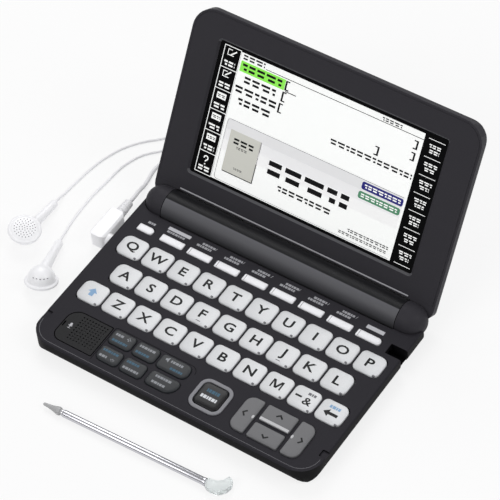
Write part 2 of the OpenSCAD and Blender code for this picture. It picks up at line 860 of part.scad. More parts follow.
module enter_key() {
    color([0.3, 0.3, 0.32]) key(enter_at, enter_size, even(enter_r), key_low, key_top + 0.2, front_tab);
}

module arrow_key(at, size, radii) {
    color([0.45, 0.45, 0.46]) key(at, size, radii, key_low, key_top + 0.2, front_tab);
}

module arrow_left_key() {
    arrow_key(left_at, side_arrow_size, left_radii);
}

module arrow_right_key() {
    arrow_key(right_at, side_arrow_size, right_radii);
}

module arrow_up_key() {
    arrow_key(up_at, up_size, even(0.8));
}

module arrow_down_key() {
    arrow_key(down_at, down_size, even(0.8));
}

/* Lid */

bezel_t = 1;
ledge = lid_front - bezel_t;
plate_t = 1.2;
window_t = 0.7;
lcd_t = 1.2;
cavity_v = 9.3;
lid_ear_v = 9;
window_mid_v = window_v + window_h / 2;
display_mid_v = 50.5;
display_h = 66;
lid_posts = [[-65, lid_len - 7], [65, lid_len - 7], [-65, 14], [65, 14]];
lid_post_r = 2.2;
lid_low_r = 7;
lid_foot_v = 3.5;
trim_half = barrel_half - rim - 3 * slack;
trim_v = 8.35;
trim_w = 0.6;
cable_run = 8;
display_edge = 2;

// outline of the lid seen from the user, with rounded upper corners
function lid_outline(half, top, r, low_r) = concat(
    arc_points(half - r, top - r, r, 0, 90, 8),
    arc_points(-half + r, top - r, r, 90, 180, 8),
    arc_points(-half + low_r, low_r, low_r, 180, 270, 6),
    arc_points(half - low_r, low_r, low_r, 270, 360, 6)
);

function bezel_outline(inset) = concat(
    arc_points(half_w - lid_corner_r, lid_len - lid_corner_r, lid_corner_r - inset, 0, 90, 8),
    arc_points(-half_w + lid_corner_r, lid_len - lid_corner_r, lid_corner_r - inset, 90, 180, 8),
    [[-half_w + inset, lid_ear_v], [-barrel_half + inset, lid_ear_v], [-barrel_half + inset, 0],
     [barrel_half - inset, 0], [barrel_half - inset, lid_ear_v], [half_w - inset, lid_ear_v]]
);

// back of the lid with rounded long edges
function lid_profile(half, r) = concat(
    arc_points(-half + r, lid_back + r, r, 180, 270, 4),
    arc_points(half - r, lid_back + r, r, 270, 360, 4),
    [[half, lid_front], [-half, lid_front]]
);

module lid_ear(side) {
    translate([side * ear_x, 0, 0]) rotate([0, side * 90, 0])
        rotate_extrude()
            polygon(concat([[0, 0]], [[barrel_r, 0]], arc_points(0, ear_len, barrel_r, 0, 90, 9)));
}

module barrel_room() {
    rod_x(-ear_x, ear_x, 0, 0, lid_sweep_r);
    box([-ear_x, -lid_len, lid_back - 1], [ear_x, lid_foot_v, 1]);
}

module lid_back_cover() {
    edge = 2.2;
    low = lid_back + plate_t;
    color([0.2, 0.2, 0.21]) in_lid() {
        difference() {
            union() {
                intersection() {
                    translate([0, 0, lid_back])
                        linear_extrude(lid_t) polygon(lid_outline(half_w, lid_len, lid_corner_r, lid_low_r));
                    translate([0, lid_len + 1, 0]) rotate([90, 0, 0])
                        linear_extrude(lid_len + 2) polygon(lid_profile(half_w, edge));
                    drawn_x(-half_w, half_w, concat(
                        [[0, lid_front], [0, lid_back]],
                        arc_points(lid_len - edge, lid_back + edge, edge, -90, 0, 4),
                        [[lid_len, lid_front]]
                    ));
                }
                for (side = [-1, 1])
                    lid_ear(side);
            }
            barrel_room();
            // seat of the bezel, then the hollow behind it
            translate([0, 0, ledge]) linear_extrude(bezel_t + 1) polygon(bezel_outline(rim));
            translate([0, (cavity_v + lid_len - 2.4) / 2, lid_back + plate_t])
                linear_extrude(lid_t)
                    polygon(rounded_points(2 * half_w - 4.8, lid_len - 2.4 - cavity_v, lid_corner_r - 2.4, 6));
            for (side = [-1, 1])
                translate([side * (ear_x - 1), 0, 0]) rotate([0, side * 90, 0])
                    cylinder(h = pin_reach + 1.4, r = pin_d / 2 + pin_gap);
            // way of the flat cable from the hinge axis into the lid
            box([-ear_x - pin_reach - 2, -1.4, low], [-ear_x - pin_reach - 0.2, 1.4, 1.4]);
            box([-ear_x - pin_reach - 2, -1.4, low], [-ear_x - pin_reach - 0.2, cavity_v + cable_run, low + 1.5]);
            for (p = lid_posts)
                translate([p[0], p[1], lid_back - 1]) {
                    cylinder(h = 1 + head_h, r = head_r + slack);
                    cylinder(h = plate_t + 2, r = screw_r + pin_gap);
                }
        }
    }
}

// bar let into the bezel's lower edge
module trim_bar(half, low, wide, over) {
    box([-half, low, lid_front - 0.4], [half, low + wide, lid_front + over]);
}

module lid_bezel() {
    color([0.2, 0.2, 0.21]) in_lid() {
        difference() {
            translate([0, 0, ledge]) linear_extrude(bezel_t) polygon(bezel_outline(rim + slack));
            barrel_room();
            translate([0, window_mid_v, ledge - 1])
                linear_extrude(bezel_t + 2) polygon(rounded_points(window_w, window_h, 1, 3));
            trim_bar(trim_half + slack / 2, trim_v - slack / 2, trim_w + slack, 1);
        }
        difference() {
            for (p = lid_posts)
                translate([p[0], p[1], lid_back + plate_t])
                    cylinder(h = ledge - lid_back - plate_t + eps, r = lid_post_r);
            for (p = lid_posts)
                translate([p[0], p[1], lid_back])
                    cylinder(h = lid_t - bezel_t, r = screw_r + pin_gap);
        }
    }
}

module lid_trim_strip() {
    color([0.6, 0.6, 0.62]) in_lid() trim_bar(trim_half, trim_v, trim_w, 0);
}

module display_window() {
    color([0.05, 0.05, 0.06]) in_lid()
        translate([0, window_mid_v, ledge - window_t])
            linear_extrude(window_t) polygon(rounded_points(window_w + 3, window_h + 3, 1, 3));
}

module lcd_panel() {
    color([0.93, 0.94, 0.93]) in_lid()
        translate([0, display_mid_v, ledge - window_t - lcd_t])
            linear_extrude(lcd_t) polygon(rounded_points(display_w + 2 * display_edge, display_h, 1, 2));
}

module backlight_tray() {
    color([0.7, 0.7, 0.72]) in_lid()
        box([-display_w / 2 - 2 * display_edge, display_mid_v - display_h / 2 - 1.5, lid_back + plate_t],
            [display_w / 2 + 2 * display_edge, display_mid_v + display_h / 2 + 1.5, ledge - window_t - lcd_t]);
}

module lid_cable() {
    x = -ear_x - pin_reach - 1.9;
    low = lid_back + plate_t;
    color([0.7, 0.45, 0.15]) in_lid() {
        rod_x(x, -barrel_half + end_wall + flange_t, 0, 0, cable_bore_d / 2 - 0.3);
        box([x, -1.2, low + slack], [x + 1.4, 0, 0]);
        box([x, -1.2, low + slack], [x + 1.4, cavity_v + cable_run, low + 0.4]);
    }
}

module lid_screws() {
    color([0.55, 0.55, 0.57]) in_lid()
        for (p = lid_posts)
            translate([p[0], p[1], lid_back + slack]) {
                cylinder(h = head_h - slack, r = head_r);
                cylinder(h = lid_t - bezel_t - slack - 0.3, r = screw_r);
            }
}

/* Stylus, lying in front of the base */

stylus_at = [-48.6, -73.1];
stylus_turn = 1.95;
cone_len = 8.8;
collar_len = 1.1;
hook_len = 10.3;
ring_len = 1.3;
tube_len = stylus_len - cone_len - collar_len - ring_len - hook_len;
spigot_r = stylus_d / 2 - 0.45;

module on_stylus() {
    translate([stylus_at[0], stylus_at[1], ground + point_d / 2]) rotate([0, 0, stylus_turn]) children();
}

module stylus_point() {
    big = point_d / 2;
    color([0.5, 0.5, 0.5]) on_stylus() rotate([0, 90, 0])
        rotate_extrude()
            polygon(concat(
                [[0, 0], [0.45, 0.1], [0.75, 0.6], [big, cone_len], [big, cone_len + collar_len]],
                [[spigot_r, cone_len + collar_len], [spigot_r, cone_len + collar_len + 4],
                 [0, cone_len + collar_len + 4]]
            ));
}

module stylus_tube() {
    start = cone_len + collar_len;
    color([0.8, 0.8, 0.82]) on_stylus()
        difference() {
            union() {
                rod_x(start, start + tube_len, 0, 0, stylus_d / 2);
                rod_x(start + tube_len - eps, start + tube_len + ring_len, 0, 0, stylus_d / 2 + 0.15);
            }
            rod_x(start - 1, start + tube_len + ring_len + 1, 0, 0, spigot_r + pin_gap);
        }
}

// clear hook that catches in the garage's mouth
module stylus_hook() {
    start = stylus_len - hook_len;
    thick = 3;
    color([0.92, 0.94, 0.94]) on_stylus() {
        rod_x(start - 4, start + eps, 0, 0, spigot_r);
        translate([start, 0, -thick / 2])
            linear_extrude(thick)
                polygon([[0, -1.7], [1.6, -2.6], [4, -2.9], [7.4, -2.2], [9.6, 0.4], [10.3, 3.2], [9.4, 5.8],
                         [7.2, 6.6], [6.8, 5.6], [6, 3.9], [4.6, 2.6], [2.6, 1.9], [0, 1.7]]);
    }
}

/* Earphones, plugged in and lying beside and behind the base */

module plug_housing() {
    w = plug_block[0];
    d = plug_block[1];
    mid_z = ground + slack + plug_block[2] / 2;
    color([0.95, 0.95, 0.95]) {
        difference() {
            translate([plug_x, plug_y, ground + slack])
                linear_extrude(plug_block[2]) polygon(rounded_points(w, d, 2.4, 5));
            for (side = [-1, 1])
                translate([plug_x, plug_y, mid_z]) rotate([0, side * 45, 0])
                    for (up = [-1, 1])
                        translate([-10, -d, up * 5.1 + (up < 0 ? -10 : 0)]) cube([20, 2 * d, 10]);
        }
        rod_x(plug_x + w / 2 - eps, -half_w - 0.1, jack_y, jack_z, 2.9);
    }
}

module plug_pin() {
    color([0.85, 0.75, 0.45])
        rod_x(-half_w - 0.1, jack_x + plug_len, jack_y, jack_z, plug_d / 2);
}

// tapered relief with three rows of ribs
module plug_strain_relief() {
    start = plug_y + plug_block[1] / 2;
    ribs = 6;
    color([0.95, 0.95, 0.95])
        translate([relief_x, start, jack_z]) rotate([-90, 0, 0]) {
            rotate_extrude()
                polygon([[0, 0], [2.1, 0], [1.6, relief_len], [0, relief_len]]);
            for (i = [0:ribs - 1])
                translate([0, 0, 0.8 + i * 1.35]) cylinder(h = 0.7, r = 2.7 - 0.1 * i);
        }
}

// sweep of a ring of points along a route
function unit(v) = v / norm(v);

function route_dir(route, i) =
    i == 0 ? unit(route[1] - route[0])
    : i == len(route) - 1 ? unit(route[i] - route[i - 1])
    : unit(unit(route[i + 1] - route[i]) + unit(route[i] - route[i - 1]));

function ring_points(centre, dir, r, sides) =
    let (across = unit(cross(dir, [0, 0, 1])), up = cross(across, dir))
    [for (k = [0:sides - 1])
        let (a = 360 * (k + 0.5) / sides) centre + r * (cos(a) * across + sin(a) * up)];

module tube(route, r, sides) {
    last = len(route) - 1;
    points = [for (i = [0:last]) each ring_points(route[i], route_dir(route, i), r, sides)];
    sides_faces = [for (i = [0:last - 1], k = [0:sides - 1])
        let (a = i * sides + k, b = i * sides + (k + 1) % sides)
        [a, a + sides, b + sides, b]];
    start = [for (k = [0:sides - 1]) k];
    end = [for (k = [sides - 1:-1:0]) last * sides + k];
    polyhedron(points = points, faces = concat([start], sides_faces, [end]));
}

// spiral in on the lower layer, climb where it reverses, spiral out on the upper layer
function coil_route(at, low, turns, outer, pitch, from, way) =
    [for (i = [0:turns * loop_rings])
        let (t = i / loop_rings, off = abs(t - turns / 2), r = outer - pitch * (turns / 2 - off),
             a = from + way * 360 * t,
             climb = min(1, max(0, (t - turns / 2 + 0.25) * 2)))
        [at[0] + r * cos(a), at[1] + r * sin(a), low + pitch * climb]];

main_pitch = main_cord_d + coil_gap;
thin_pitch = thin_cord_d + coil_gap;
port_z = ground + splitter_h / 2;
main_coil_route = concat(
    coil_route(main_coil_at, floor_main, main_turns, main_outer, main_pitch, -90, 1),
    [[splitter_x[1] + 5, splitter_y, floor_main + main_pitch - 0.4],
     [splitter_x[1] + 2.5, splitter_y, port_z], [splitter_x[1], splitter_y, port_z]]
);
left_coil_route = concat(
    coil_route(left_coil_at, floor_thin, left_turns, thin_outer, thin_pitch, -90, 1),
    [[splitter_x[0] - 4, left_coil_at[1] - thin_outer, floor_thin + thin_pitch],
     [splitter_x[0], left_coil_at[1] - thin_outer, floor_thin + thin_pitch]]
);
right_coil_route = concat(
    coil_route(right_coil_at, floor_thin, right_turns, thin_outer, thin_pitch, 180, -1),
    [[splitter_x[0] - 4, right_coil_at[1] + thin_outer, floor_thin + thin_pitch],
     [splitter_x[0], right_coil_at[1] + thin_outer, floor_thin + thin_pitch]]
);

// length of a route, and the least distance between its turns
function route_len(route) = let (steps = [for (i = [1:len(route) - 1]) norm(route[i] - route[i - 1])])
    steps * [for (s = steps) 1];
function self_gap(route, d) = min([for (i = [0:4:len(route) - 1], j = [i + 12:1:len(route) - 1])
    norm(route[i] - route[j])]) - d;
echo(main_length = route_len(main_route) + route_len(main_coil_route));
echo(left_length = route_len(left_route) + route_len(left_coil_route));
echo(right_length = route_len(right_route) + route_len(right_coil_route));
echo(main_gap = self_gap(main_coil_route, main_cord_d));
echo(left_gap = self_gap(left_coil_route, thin_cord_d));
echo(right_gap = self_gap(right_coil_route, thin_cord_d));

module main_cord() {
    color([0.95, 0.95, 0.95]) tube(main_route, main_cord_d / 2, 8);
}

module main_coil() {
    color([0.95, 0.95, 0.95]) tube(main_coil_route, main_cord_d / 2, 6);
}

module left_cord() {
    color([0.95, 0.95, 0.95]) tube(left_route, thin_cord_d / 2, 8);
}

module left_coil() {
    color([0.95, 0.95, 0.95]) tube(left_coil_route, thin_cord_d / 2, 6);
}

module right_cord() {
    color([0.95, 0.95, 0.95]) tube(right_route, thin_cord_d / 2, 8);
}

module right_coil() {
    color([0.95, 0.95, 0.95]) tube(right_coil_route, thin_cord_d / 2, 6);
}

module cord_splitter() {
    mid = (splitter_x[0] + splitter_x[1]) / 2;
    color([0.95, 0.95, 0.95])
        plate([mid, splitter_y], [splitter_x[1] - splitter_x[0], splitter_w], 1.2, ground, ground + splitter_h, 4);
}

// an earbud in its own frame: its face looks along +Z, its stem runs along +Y and leans back
face_t = 2.6;
back_depth = 6.6;
stem_h = -5.2;
stem_len = 23.5;
stem_lean = 8;

module bud_face() {
    r = bud_d / 2;
    rotate_extrude()
        polygon([[0, -face_t], [r - 1.6, -face_t], [r - 0.1, -face_t + 0.4], [r, -face_t + 1],
                 [r - 0.5, -0.9], [r - 1.8, -0.3], [r - 3.6, 0], [0, 0]]);
}

module bud_back() {
    r = bud_d / 2;
    dome_r = r - 1.4;
    rotate_extrude()
        polygon(concat([[0, -face_t], [dome_r, -face_t]],
                       [for (a = [15:15:90]) [dome_r * cos(a), -face_t - back_depth * sin(a)]]));
    translate([0, 0, stem_h]) rotate([-90 - stem_lean, 0, 0])
        rotate_extrude()
            polygon([[0, 0], [2.4, 0], [2.3, r], [2, stem_len - 0.4], [1.7, stem_len], [0, stem_len]]);
}

// each bud is placed by the end of its stem and rests on its head and on that end
module from_stem_end() {
    translate([0, -stem_len * cos(stem_lean), stem_len * sin(stem_lean) - stem_h]) children();
}

module left_bud() {
    translate(left_stem_end) rotate([0, 0, -1]) rotate([2.6, 0, 0]) rotate([0, 12, 0]) from_stem_end() children();
}

module right_bud() {
    translate(right_stem_end) rotate([0, 0, 17]) rotate([-19.6, 0, 0]) rotate([0, 180, 0])
        from_stem_end() children();
}

module left_earbud_face() {
    color([0.85, 0.85, 0.86]) left_bud() bud_face();
}

module left_earbud_shell() {
    color([0.95, 0.95, 0.95]) left_bud() bud_back();
}

module right_earbud_face() {
    color([0.85, 0.85, 0.86]) right_bud() bud_face();
}

module right_earbud_shell() {
    color([0.95, 0.95, 0.95]) right_bud() bud_back();
}

bottom_case();
top_case();
hinge_barrel();
battery_cover();
battery_cells();
battery_contacts();
hinge_pins();
main_board();
keypad_sheets();
speaker_grille();
speaker();
microphone();
enter_ring();
earphone_jack();
stylus_sleeve();
rubber_feet();
case_screws();
power_key();
function_keys();
letter_keys_row_1();
letter_keys_row_2();
letter_keys_row_3();
page_up_key();
page_down_key();
jump_key();
history_key();
voice_key();
back_key();
enter_key();
arrow_left_key();
arrow_right_key();
arrow_up_key();
arrow_down_key();
lid_back_cover();
lid_bezel();
lid_trim_strip();
display_window();
lcd_panel();
backlight_tray();
lid_cable();
lid_screws();
stylus_point();
stylus_tube();
stylus_hook();
plug_housing();
plug_pin();
plug_strain_relief();
main_cord();
main_coil();
cord_splitter();
left_cord();
left_coil();
right_cord();
right_coil();
left_earbud_shell();
left_earbud_face();
right_earbud_shell();
right_earbud_face();
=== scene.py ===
import math
from collections import defaultdict

import bmesh
import bpy
from mathutils import Matrix, Vector


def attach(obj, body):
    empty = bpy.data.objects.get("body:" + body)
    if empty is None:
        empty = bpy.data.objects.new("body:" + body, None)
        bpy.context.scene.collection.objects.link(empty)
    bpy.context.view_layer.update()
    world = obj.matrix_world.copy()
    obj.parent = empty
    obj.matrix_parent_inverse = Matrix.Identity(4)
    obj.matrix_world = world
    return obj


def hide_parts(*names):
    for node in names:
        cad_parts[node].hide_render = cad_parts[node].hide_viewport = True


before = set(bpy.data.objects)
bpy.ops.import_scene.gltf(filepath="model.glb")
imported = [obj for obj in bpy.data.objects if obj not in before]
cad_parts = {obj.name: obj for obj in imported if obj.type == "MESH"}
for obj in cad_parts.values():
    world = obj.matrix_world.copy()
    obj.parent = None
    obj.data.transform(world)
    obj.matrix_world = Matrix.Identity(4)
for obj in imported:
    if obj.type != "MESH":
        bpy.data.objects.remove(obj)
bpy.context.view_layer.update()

bl_info = {
    "name": "Pocket dictionary",
    "version": (1, 0, 0),
    "blender": (4, 5, 0),
    "location": "View3D > Sidebar > Dictionary",
    "description": "Looks of a clamshell pocket dictionary with its stylus and earphones",
    "category": "Object",
}

MM = 0.001
HINGE_Y = 42.85
HINGE_Z = 7.95
LID_TILT = 59.3
LID_FRONT = -2.9
GLASS_Z = -3.9
SHEET_LOW = GLASS_Z - 0.05
WINDOW_HALF, WINDOW_LOW, WINDOW_HIGH = 59, 17, 84
DECK_Z = 8.4
GROUND = -0.8
# angle in degrees about the barrel's axis where the front's painted highlight meets the painted shade of the upper side
BAND_TOP = 73
BARREL_END = 62.04
CORNERS = ((1, 1), (-1, 1), (-1, -1), (1, -1))
CROWN_STEPS = 3
# thickness of print, and the gap and the least length of the bars in place of words
THIN = 0.02
BAR_GAP = 0.28
BAR_LEAST = 0.5


# shaping


def linear(colour):
    """Colour written as it looks on a screen, as the shader reads it."""
    return [((c + 0.055) / 1.055) ** 2.4 if c > 0.04045 else c / 12.92 for c in colour[:3]] + [1.0]


def mm(x, y, z):
    return Vector((x, y, z)) * MM


def shift(x, y, z):
    return Matrix.Translation(mm(x, y, z))


def turn(degrees, axis):
    return Matrix.Rotation(math.radians(degrees), 4, axis)


IN_LID = shift(0, HINGE_Y, HINGE_Z) @ turn(LID_TILT, "X")


def placed(part, place):
    bmesh.ops.transform(part, matrix=place, verts=part.verts)
    return part


def outward(part):
    """Turns all faces outward."""
    bmesh.ops.recalc_face_normals(part, faces=part.faces)
    return part


def slab(bm, low, high):
    """Box between two corners in millimetres."""
    low, high = mm(*low), mm(*high)
    place = Matrix.Translation((low + high) / 2) @ Matrix.Diagonal((*(high - low), 1))
    return bmesh.ops.create_cube(bm, size=1, matrix=place)["verts"]


def bevel(bm, edges, offset, segments):
    bmesh.ops.bevel(
        bm, geom=list(edges), offset=offset * MM, offset_type="OFFSET", segments=segments,
        profile=0.5, affect="EDGES", material=-1, clamp_overlap=True,
    )


def above(height):
    """Chooses edges that lie wholly above a height in millimetres."""
    return lambda e: min(v.co.z for v in e.verts) > height * MM


def upright(e):
    a, b = (v.co for v in e.verts)
    return abs(a.x - b.x) < 1e-6 and abs(a.y - b.y) < 1e-6 and abs(a.z - b.z) > 1e-5


def top_of(bm):
    """Largest face that looks up."""
    faces = [f for f in bm.faces if f.normal.z > 0.9]
    high = max(f.calc_center_median().z for f in faces)
    return max((f for f in faces if f.calc_center_median().z > high - 1e-5), key=lambda f: f.calc_area())


def pour(bm, part, place=None):
    """Adds one mesh to another and frees it."""
    if place is not None:
        placed(part, place)
    mesh = bpy.data.meshes.new("part")
    part.to_mesh(mesh)
    part.free()
    bm.from_mesh(mesh)
    bpy.data.meshes.remove(mesh)


def cap(at, size, radii, low, high, shoulder=0.5, crown=0.15, ring=0.9, round_steps=5):
    """Key cap with its own corner radii, a rounded shoulder and a crowned top.

    The radii run counter-clockwise from the rear right.
    """
    part = bmesh.new()
    x, y = at
    w, d = size[0] / 2, size[1] / 2
    slab(part, (x - w, y - d, low), (x + w, y + d, high))
    for (sx, sy), r in zip(CORNERS, radii):
        corner = mm(x + sx * w, y + sy * d, 0).xy
        bevel(part, [e for e in part.edges if upright(e) and (e.verts[0].co.xy - corner).length < 1e-6], r, round_steps)
    part.normal_update()
    if shoulder > 0:
        bevel(part, top_of(part).edges, shoulder, 4)
    part.normal_update()
    if crown > 0:
        face = top_of(part)
        for i in range(CROWN_STEPS):
            face = bmesh.ops.extrude_discrete_faces(part, faces=[face])["faces"][0]
            narrower = [1 - ring / CROWN_STEPS / half for half in (w, d)]
            bmesh.ops.scale(part, vec=(*narrower, 1), verts=face.verts, space=shift(-x, -y, 0))
            rise = crown * (CROWN_STEPS - i) * 2 / (CROWN_STEPS * (CROWN_STEPS + 1))
            bmesh.ops.translate(part, vec=mm(0, 0, rise), verts=face.verts)
    return part


def raised(part, made, low, high):
    """Lifts what an extrusion made."""
    verts = [v for v in made["geom"] if isinstance(v, bmesh.types.BMVert)]
    bmesh.ops.translate(part, vec=mm(0, 0, high - low), verts=verts)
    return outward(part)


def plate(bm, points, low, high, at=(0, 0)):
    """Adds a plate with an outline of a few points, in millimetres."""
    part = bmesh.new()
    face = part.faces.new([part.verts.new(mm(at[0] + x, at[1] + y, low)) for x, y in points])
    pour(bm, raised(part, bmesh.ops.extrude_face_region(part, geom=[face]), low, high))


def line(points, width, low, high, closed=False):
    """Narrow raised line along points, in millimetres."""
    part = bmesh.new()
    verts = [part.verts.new(mm(x, y, low)) for x, y in points]
    pairs = list(zip(verts, verts[1:])) + ([(verts[-1], verts[0])] if closed else [])
    raised(part, bmesh.ops.extrude_edge_only(part, edges=[part.edges.new(p) for p in pairs]), low, high)
    bmesh.ops.solidify(part, geom=part.faces[:], thickness=width * MM)
    return outward(part)


def arc(x, y, r, start, end, steps=8):
    angles = [math.radians(start + (end - start) * i / steps) for i in range(steps + 1)]
    return [(x + r * math.cos(a), y + r * math.sin(a)) for a in angles]


def rounded(at, size, radii, steps):
    """Outline with its own corner radii, counter-clockwise from the rear right."""
    points = []
    for i, ((sx, sy), r, count) in enumerate(zip(CORNERS, radii, steps)):
        points += arc(at[0] + sx * (size[0] / 2 - r), at[1] + sy * (size[1] / 2 - r), r, 90 * i, 90 * i + 90, count)
    return points


def turned(profile, steps=48):
    """Shape turned round Z from (radius, height) points in millimetres."""
    part = bmesh.new()
    verts = [part.verts.new(mm(r, 0, z)) for r, z in profile]
    edges = [part.edges.new(p) for p in zip(verts, verts[1:])]
    around = dict(cent=(0, 0, 0), axis=(0, 0, 1), angle=math.tau, steps=steps)
    bmesh.ops.spin(part, geom=verts + edges, use_merge=True, **around)
    bmesh.ops.remove_doubles(part, verts=part.verts, dist=1e-6)
    return outward(part)


def lettering(text, at, height, width_scale, z, bold=0.15):
    """Flat characters made a mesh, centred on a point in millimetres."""
    curve = bpy.data.curves.new("legend", "FONT")
    curve.body = text
    curve.align_x = curve.align_y = "CENTER"
    curve.size = height / 0.72 * MM
    curve.extrude = THIN * MM / 2
    curve.resolution_u = 3
    curve.offset = bold * MM
    holder = bpy.data.objects.new("legend", curve)
    part = bmesh.new()
    part.from_mesh(holder.to_mesh())
    holder.to_mesh_clear()
    bpy.data.objects.remove(holder)
    bpy.data.curves.remove(curve)
    middle = [(min(v.co[i] for v in part.verts) + max(v.co[i] for v in part.verts)) / 2 for i in (0, 1)]
    wider = Matrix.Diagonal((width_scale, 1, 1, 1)) @ Matrix.Translation((-middle[0], -middle[1], 0))
    return placed(part, shift(at[0], at[1], z + THIN / 2) @ wider)


def dashes(bm, start, end, y, height, z, seed):
    """Row of short plain bars in place of words."""
    x, i = start, seed
    while x < end - BAR_LEAST:
        wide = min(0.75 + 0.35 * (i * 7 % 3), end - x)
        slab(bm, (x, y - height / 2, z - THIN), (x + wide, y + height / 2, z + THIN))
        x += wide + BAR_GAP
        i += 1


def linked(name, data):
    """New object in the scene."""
    made = bpy.data.objects.new(name, data)
    bpy.context.scene.collection.objects.link(made)
    return made


def finished(bm, name, material, body, nodes=(), sharp=40, even=False):
    """Turns a mesh into a piece that rides on its body."""
    bmesh.ops.remove_doubles(bm, verts=bm.verts, dist=1e-7)
    mesh = bpy.data.meshes.new(name)
    bm.to_mesh(mesh)
    bm.free()
    mesh.polygons.foreach_set("use_smooth", [True] * len(mesh.polygons))
    mesh.set_sharp_from_angle(angle=math.radians(sharp))
    mesh.materials.append(material)
    piece = linked(name, mesh)
    if even:
        piece.modifiers.new("even shading", "WEIGHTED_NORMAL").keep_sharp = True
    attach(piece, body)
    if nodes:
        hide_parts(*nodes)
    return piece


def softened(node, offset, segments, chosen=lambda e: True, least=28):
    """Copy of a moulded part with its hard edges rounded."""
    part = bmesh.new()
    part.from_mesh(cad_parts[node].data)
    bmesh.ops.remove_doubles(part, verts=part.verts, dist=2e-6)
    bmesh.ops.dissolve_limit(
        part, angle_limit=math.radians(0.4), use_dissolve_boundaries=False, verts=part.verts, edges=part.edges
    )
    part.normal_update()
    edges = [
        e for e in part.edges
        if e.is_manifold and e.calc_face_angle(0) > math.radians(least) and chosen(e)
    ]
    bevel(part, edges, offset, segments)
    return part


# finishes


def wired(tree, kind, inputs=(), **settings):
    """New shader node. An input takes a value, or the socket that feeds it."""
    node = tree.nodes.new("ShaderNode" + kind)
    for name, value in settings.items():
        setattr(node, name, value)
    for key, value in dict(inputs).items():
        if isinstance(value, bpy.types.NodeSocket):
            tree.links.new(value, node.inputs[key])
        else:
            node.inputs[key].default_value = value
    return node


def reckoned(tree, operation, a, b):
    return wired(tree, "Math", {0: a, 1: b}, operation=operation).outputs[0]


def ranged(tree, value, start, end, low, high):
    """Value between two limits carried over to two others."""
    limits = {"From Min": start, "From Max": end, "To Min": low, "To Max": high}
    return wired(tree, "MapRange", {"Value": value} | limits).outputs[0]


def blended(tree, share, a, b, kind="MIX"):
    return wired(tree, "Mix", {0: share, 6: a, 7: b}, data_type="RGBA", blend_type=kind).outputs[2]


def made_once(build):
    """Hands back the finish of that name where it is there already."""
    def fetch(name, *rest, **looks):
        return bpy.data.materials.get(name) or build(name, *rest, **looks)
    return fetch


@made_once
def moulded(name, colour, rough, spread=0.05, cloud=60, grain=0.0, grain_size=0.2, coat=0.0, metallic=0.0,
            rough_spread=0.06, transmission=0.0, mirror=0.5, glow=0.0):
    """Finish with slow changes of tone and gloss and a fine moulded grain. The colour is as seen on a screen."""
    material = bpy.data.materials.new(name)
    material.use_nodes = True
    tree = material.node_tree
    inputs = tree.nodes["Principled BSDF"].inputs
    colour = linear(colour)[:3]
    place = wired(tree, "TexCoord").outputs["Object"]
    drift = wired(tree, "TexNoise", {"Vector": place, "Scale": cloud, "Detail": 3}).outputs["Fac"]
    dark, light = ([min(1, c * share) for c in colour] + [1] for share in (1 - spread, 1 + spread))
    tree.links.new(blended(tree, drift, dark, light), inputs["Base Color"])
    gloss = ranged(tree, drift, 0, 1, max(0.02, rough - rough_spread), min(1, rough + rough_spread))
    tree.links.new(gloss, inputs["Roughness"])
    if grain:
        fine = wired(tree, "TexNoise", {"Vector": place, "Scale": 1 / (grain_size * MM), "Detail": 2})
        relief = wired(tree, "Bump", {"Strength": grain, "Distance": 0.05 * MM, "Height": fine.outputs["Fac"]})
        tree.links.new(relief.outputs["Normal"], inputs["Normal"])
    for socket, value in (
        ("Metallic", metallic), ("Coat Weight", coat), ("Coat Roughness", 0.08), ("Transmission Weight", transmission),
        ("Specular IOR Level", mirror), ("Emission Color", colour + [1]), ("Emission Strength", glow),
    ):
        inputs[socket].default_value = value
    return material


def graded(material, factor):
    """The drifting colour of a moulded finish times a factor."""
    return blended(material.node_tree, 1, material.node_tree.nodes["Mix"].outputs[2], factor, "MULTIPLY")


def coloured(material, colour):
    inputs = material.node_tree.nodes["Principled BSDF"].inputs
    material.node_tree.links.new(colour, inputs["Base Color"])
    return material


@made_once
def pearl(name, colour, start):
    """Light key finish: a fine speckle, and painted light and shade that make each key of a row darker on its left and
    a little lighter on its right.
    """
    material = moulded(name, colour, 0.36, spread=0.03, cloud=90, grain=0.12, grain_size=0.15, coat=0.1, mirror=0.35)
    tree = material.node_tree
    place = tree.nodes["Texture Coordinate"].outputs["Object"]
    speckle = wired(tree, "TexVoronoi", {"Vector": place, "Scale": 2600}).outputs["Distance"]
    across = wired(tree, "SeparateXYZ", {0: place}).outputs["X"]
    in_key = reckoned(tree, "FLOORED_MODULO", reckoned(tree, "SUBTRACT", across, start * MM), KEY_PITCH * MM)
    # painted shade and highlight across each key, from darker on the left to lighter on the right
    painted_key_shade = ranged(tree, in_key, 0, KEY_PITCH * MM, 0.83, 1.07)
    tone = reckoned(tree, "MULTIPLY", ranged(tree, speckle, 0, 1, 1, 0.9), painted_key_shade)
    return coloured(material, graded(material, tone))


